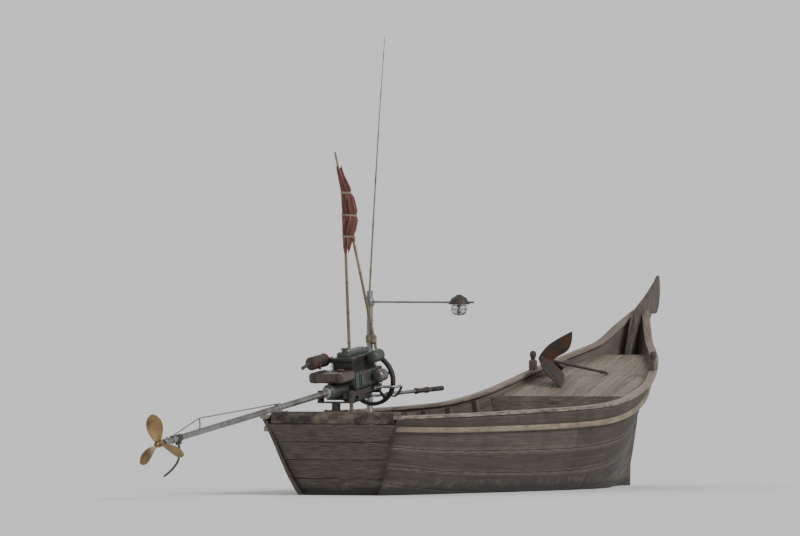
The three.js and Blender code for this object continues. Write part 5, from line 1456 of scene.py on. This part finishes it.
def make_stay():
    piece = engine_piece()
    peak = np.array((-2100, 0, 104))
    for foot, wide in ((-900, 30), (-2520, 25)):
        start = np.array((foot, 0, 31))
        piece.tube([start + (peak - start) * s for s in (0, 0.004, 0.5, 0.996, 1)], (3, 5, 5, 5, 3), 10)
        piece.turned((25.6, -24, 29.2, -24, 30, -23, 30, 23, 29.2, 24, 25.6, 24), (foot, 0, 0), sides=32)
        piece.block(foot - wide, foot + wide, -12, 12, 28, 33.5, 2)
        for x in (foot + 9 - wide, foot - 9 + wide):
            piece.bolt((x, 0, 33.3), Z, 4.2)
    piece.tube([(-2100, 0, z) for z in (25.6, 35, 60, 104, 109)], (12, 7, 7, 7.5, 4), 12)
    piece.publish("stay_rods", "steel", "tail_stay", 40)


def make_skeg():
    piece = engine_piece()
    line = [(-2440, -26.2), (-2438, -110), (-2470, -175), (-2570, -228), (-2700, -262)]
    piece.tube([(x, 0, z) for x, z in curve(line, 34)], [9] * 32 + [7.8, 4], 12)
    piece.block(-2475, -2405, -10, 10, -50, -26.2, 4, 3)
    piece.turned((25.6, -30, 30, -28, 30, 28, 25.6, 30), (-2440, 0, 0), sides=32)
    for x in (-2462, -2418):
        for side in (-1, 1):
            piece.bolt((x, side * 9.8, -40), (0, side, 0), 4.2)
    piece.publish("skeg_rod", "iron", "skeg", 40)


def on_shaft(r, z):
    """A place at a distance r before the pivot and height z, from the crankshaft's middle."""
    c, s = math.cos(SLOPE), math.sin(SLOPE)
    up = z - PITCH_Z
    return np.array((r * c + up * s, 0, up * c - r * s - SHAFT_RISE)) / MM


def make_tiller():
    bar, grip, lever = (engine_piece() for _ in range(3))
    aft, end = on_shaft(TILLER["aft"], TILLER["aftZ"]), on_shaft(TILLER["end"], TILLER["endZ"])
    line = (end - aft) / (TILLER["end"] - TILLER["aft"])
    axis = line / np.linalg.norm(line)

    def along(r):
        return aft + line * (r - TILLER["aft"])

    for side in (1, -1):
        loop = np.array([(395, 132, -40), (455, 155, -42), (510, 236, -50), (600, 244, -62),
                         aft + (-60, 110, 0), aft + (10, 0, 0)])
        bar.tube(curve(loop * (1, side, 1), 46), 11, 14)
        for x in (375, 415):
            bar.bolt((x, side * 139.2, -40), (0, side, 0), 5)
    bar.pair(365, 425, 120.6, 139.4, -55, -25, 4, 3)
    start = aft - (5, 0, 0)
    bar.tube([start + (end - start) * s for s in (0, 0.012, 0.3, 0.6, 0.99, 0.997, 1)],
             TILLER["radius"] * np.array((1.25, 1.25, 1, 1, 1, 0.9, 0.6)), 20)
    bar.publish("tiller_pipe", "steel", "tiller", 40)

    span = np.linspace(1.49, 1.664, 70)
    ribs = 18.6 + 1.3 * (0.5 + 0.5 * np.cos(2 * np.pi * (span - 1.5) / 0.011))
    ribs[[0, -1]] = 17.2
    ribs[1:4] = 19.5, 20.5, 20.5
    ribs[-4:-1] = 20.2, 20.2, 19
    run = [(along(r) - along(span[0])) @ axis for r in span]
    inner = [(15.4, run[-1]), (15.4, run[0])]
    grip.turned(np.vstack([np.stack([ribs, run], 1), inner]), along(span[0]), axis, 28)
    grip.publish("ribbed_grip", "rubber", "tiller_grip", 50)

    length = np.linalg.norm(along(1.44) - along(1.24))
    lever.turned((15.6, 0, 23.5, 0, 25, 2, 25, 14, 20.5, 18, 20, 100, 20.5, length - 50, 24.5, length - 45,
                  24.5, length - 4, 23, length, 15.6, length), along(1.24), axis, 30)
    root, tip = along(1.4), along(1.44) + (60, -44, 10)
    arm = curve([root, (root + tip) / 2 + (8, -6, 3), tip], 12)
    lever.tube(arm, [5] * 9 + [6, 6.5, 4], 12)
    lever.bolt(along(1.26) + (0, -24.5, 0), STARBOARD, 4)
    lever.publish("throttle_sleeve", "iron", "throttle", 40)


def make_drive():
    shaft, wheel, prop = (engine_piece("drive") for _ in range(3))
    start, end = -2765, 602
    shaft.turned((0, start, 10.5, start, 12.5, start + 2, 12.5, end - 2, 10.5, end, 0, end), sides=28)
    shaft.publish("shaft_bar", "steel", "drive_shaft", 40)
    wheel.turned((180, 549, 183, 545, 207, 545, 210, 548, 210, 561, 207, 562.5, 207, 565.5, 210, 567,
                  210, 580, 207, 583, 183, 583, 180, 579), sides=64)
    wheel.turned((BORE, 539, 38, 539, 42, 542, 42, 586, 38, 589, BORE, 589), sides=32)
    wheel.turned((BORE, 588, 22, 588, 24, 590, 24, 599, 21, 601.5, BORE, 601.5), sides=6)
    for i, (c, s) in enumerate(circle(5, 1, math.pi / 2)):
        rings = []
        for r, wide, thick in SPOKES:
            ring = rounded(thick, wide, min(thick, wide) * 0.48, 4)
            rings.append([(564 + u, r * c - v * s, r * s + v * c) for u, v in ring])
        wheel.loft(np.array(rings) * MM, i)
    wheel.publish("spoked_flywheel", "iron", "flywheel", 40)
    prop.turned((BORE, 35, 27, 35, 29, 32, 29, -5, 28, -15, 25, -28, 22, -35, 18, -41, 12, -48, 6, -50.5,
                 0, -51, 0, -26, BORE, -26), (PROP_X, 0, 0), sides=36)
    for angle in (80, 200, 320):
        add_blade(prop, angle)
    prop.publish("bronze_propeller", "bronze", "propeller", 45)


def add_blade(piece, angle):
    """One twisted blade, rounded at its tip, thin at both edges."""
    spin = Matrix.Rotation(math.radians(angle), 4, "X")
    rings = []
    for share in np.linspace(0, 1, 30):
        distance, chord, thick, twist = catmull(BLADE, share)
        if share > 0.84:
            chord *= math.sqrt(max(1 - ((share - 0.84) / 0.165) ** 2, 0.0)) * 0.55 + 0.45
        c, s = math.cos(math.radians(twist)), math.sin(math.radians(twist))
        ring = []
        for u, v in circle(20, 0.5):
            along = chord * u
            off = thick * v * (1 - 0.35 * abs(2 * u) ** 3) + 0.012 * chord * (1 - (2 * u) ** 2)
            ring.append(spin @ Vector((PROP_X + along * s + off * c, distance, along * c - off * s)))
        rings.append(ring)
    piece.loft(np.array(rings) * MM, angle)


def dress_nodes():
    """Nodes whose own shape is right keep it, with softened edges and a better material."""
    for name, look, width in (("keel", "hull_x", 0.005), ("floor_timbers", "hull_y", 0.003),
                              ("pivot_socket", "iron", 0.002), ("swivel_yoke", "iron", 0.0025),
                              ("engine_cradle", "iron", 0.0022)):
        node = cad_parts[name]
        node.data.materials.clear()
        node.data.materials.append(M[look])
        bevel = node.modifiers.new("edges", "BEVEL")
        bevel.width = width
        bevel.segments = 2
        bevel.limit_method = "ANGLE"
        bevel.angle_limit = math.radians(40)
        bevel.harden_normals = False


def make_small_iron():
    """Bolts of the beam, socket, yoke and cradle, each on the body it is screwed to."""
    fixed, yoke, cradle = Piece(), Piece(SWIVEL, MM, "swivel"), engine_piece()
    for xs, y, z, size in (((-2.955, -2.847), 0.06, 0.6718, 0.008),
                           ((-2.936, -2.866), 0.45, 0.6598, 0.0085)):
        for x in xs:
            for side in (-1, 1):
                fixed.bolt((x, side * y, z), Z, size)
    fixed.publish("beam_bolts", "iron", sharp=40)
    for side in (-1, 1):
        yoke.turned((13.2, 0, 21, 0, 22, 1, 21, 2.4, 13.2, 2.4), (0, side * 150, PITCH_Z / MM), (0, side, 0))
        for x in (160, 480):
            cradle.bolt((x, side * 109.5, -20.1), Z, 7.5)
    yoke.publish("yoke_washers", "iron", sharp=40)
    cradle.publish("cradle_bolts", "iron", sharp=40)


# Stage

def waterline():
    """The hull's outline at the water, in the middle of its planking, from the stern round to the stem."""
    stern = transom_x(0) + 0.5 * TRANSOM["thick"]
    edge = []
    for share in np.linspace(0, 1, 90):
        line = hull(share, FINE, 0.5 * PLANK)
        x, y = (np.interp(0, line[:, 2], line[:, k]) for k in (0, 1))
        if stern + 0.01 < x < 2.5:
            edge.append((x, max(y, 0.5 * STEM_HALF)))
    across = [(stern, y) for y in np.linspace(0, edge[0][1], 9)]
    edge = across + edge + [(2.54, 0.5 * STEM_HALF), (2.585, 0.006)]
    return np.array(edge + [(x, -y) for x, y in reversed(edge[1:])])


def add_floor():
    """A pale floor at the waterline, open inside the hull."""
    inner = waterline()
    turn = np.arctan2(inner[:, 1], inner[:, 0])
    rings = [inner] + [radius * np.stack([np.cos(turn), np.sin(turn)], 1) for radius in FLOOR_RADII]
    mesh = bpy.data.meshes.new("floor")
    mesh.from_pydata([(x, y, 0) for ring in rings for x, y in ring], [],
                     [face[::-1] for face in grid(len(rings), len(inner))])
    floor = new_object("floor", mesh)
    s = Shader("pale_floor")
    s.put(s.shader, {"Base Color": (FLOOR_TONE,) * 3, "Roughness": 1.0, "Specular IOR Level": 0.0})
    mesh.materials.append(s.material)


def add_world():
    """A soft pale dome, as bright at the horizon as the lit floor."""
    world = bpy.data.worlds.new("pale")
    bpy.context.scene.world = world
    world.use_nodes = True
    tree = world.node_tree
    split = tree.nodes.new("ShaderNodeSeparateXYZ")
    tree.links.new(tree.nodes.new("ShaderNodeTexCoord").outputs["Generated"], split.inputs[0])
    ramp = tree.nodes.new("ShaderNodeValToRGB")
    low, high = ramp.color_ramp.elements
    low.position, high.position = 0.15, 0.8
    low.color, high.color = (*SKY_LOW, 1), (*SKY_HIGH, 1)
    tree.links.new(split.outputs["Z"], ramp.inputs["Fac"])
    tree.links.new(ramp.outputs["Color"], tree.nodes["Background"].inputs["Color"])
    tree.nodes["Background"].inputs["Strength"].default_value = 1.0


def add_lights():
    for name, place, power, soft in LIGHTS:
        data = bpy.data.lights.new(name, "SUN")
        data.energy = power
        data.angle = math.radians(soft)
        aim(new_object(name, data), place, -Vector(place))


for make in (
        make_planking, make_fastenings, make_ribs, make_rails, make_transom, make_foredeck, make_floors,
        make_thwarts, make_stem, make_stem_cheeks, make_bow_posts, make_anchor, make_poles, make_stanchion,
        make_lashing, make_flags, make_lamp, make_crankcase, make_cylinder, make_head, make_air_cleaner,
        make_muffler, make_alternator, make_tank, make_coupling, make_stay, make_skeg, make_tiller,
        make_drive, dress_nodes, make_small_iron, add_floor, add_world, add_lights):
    make()
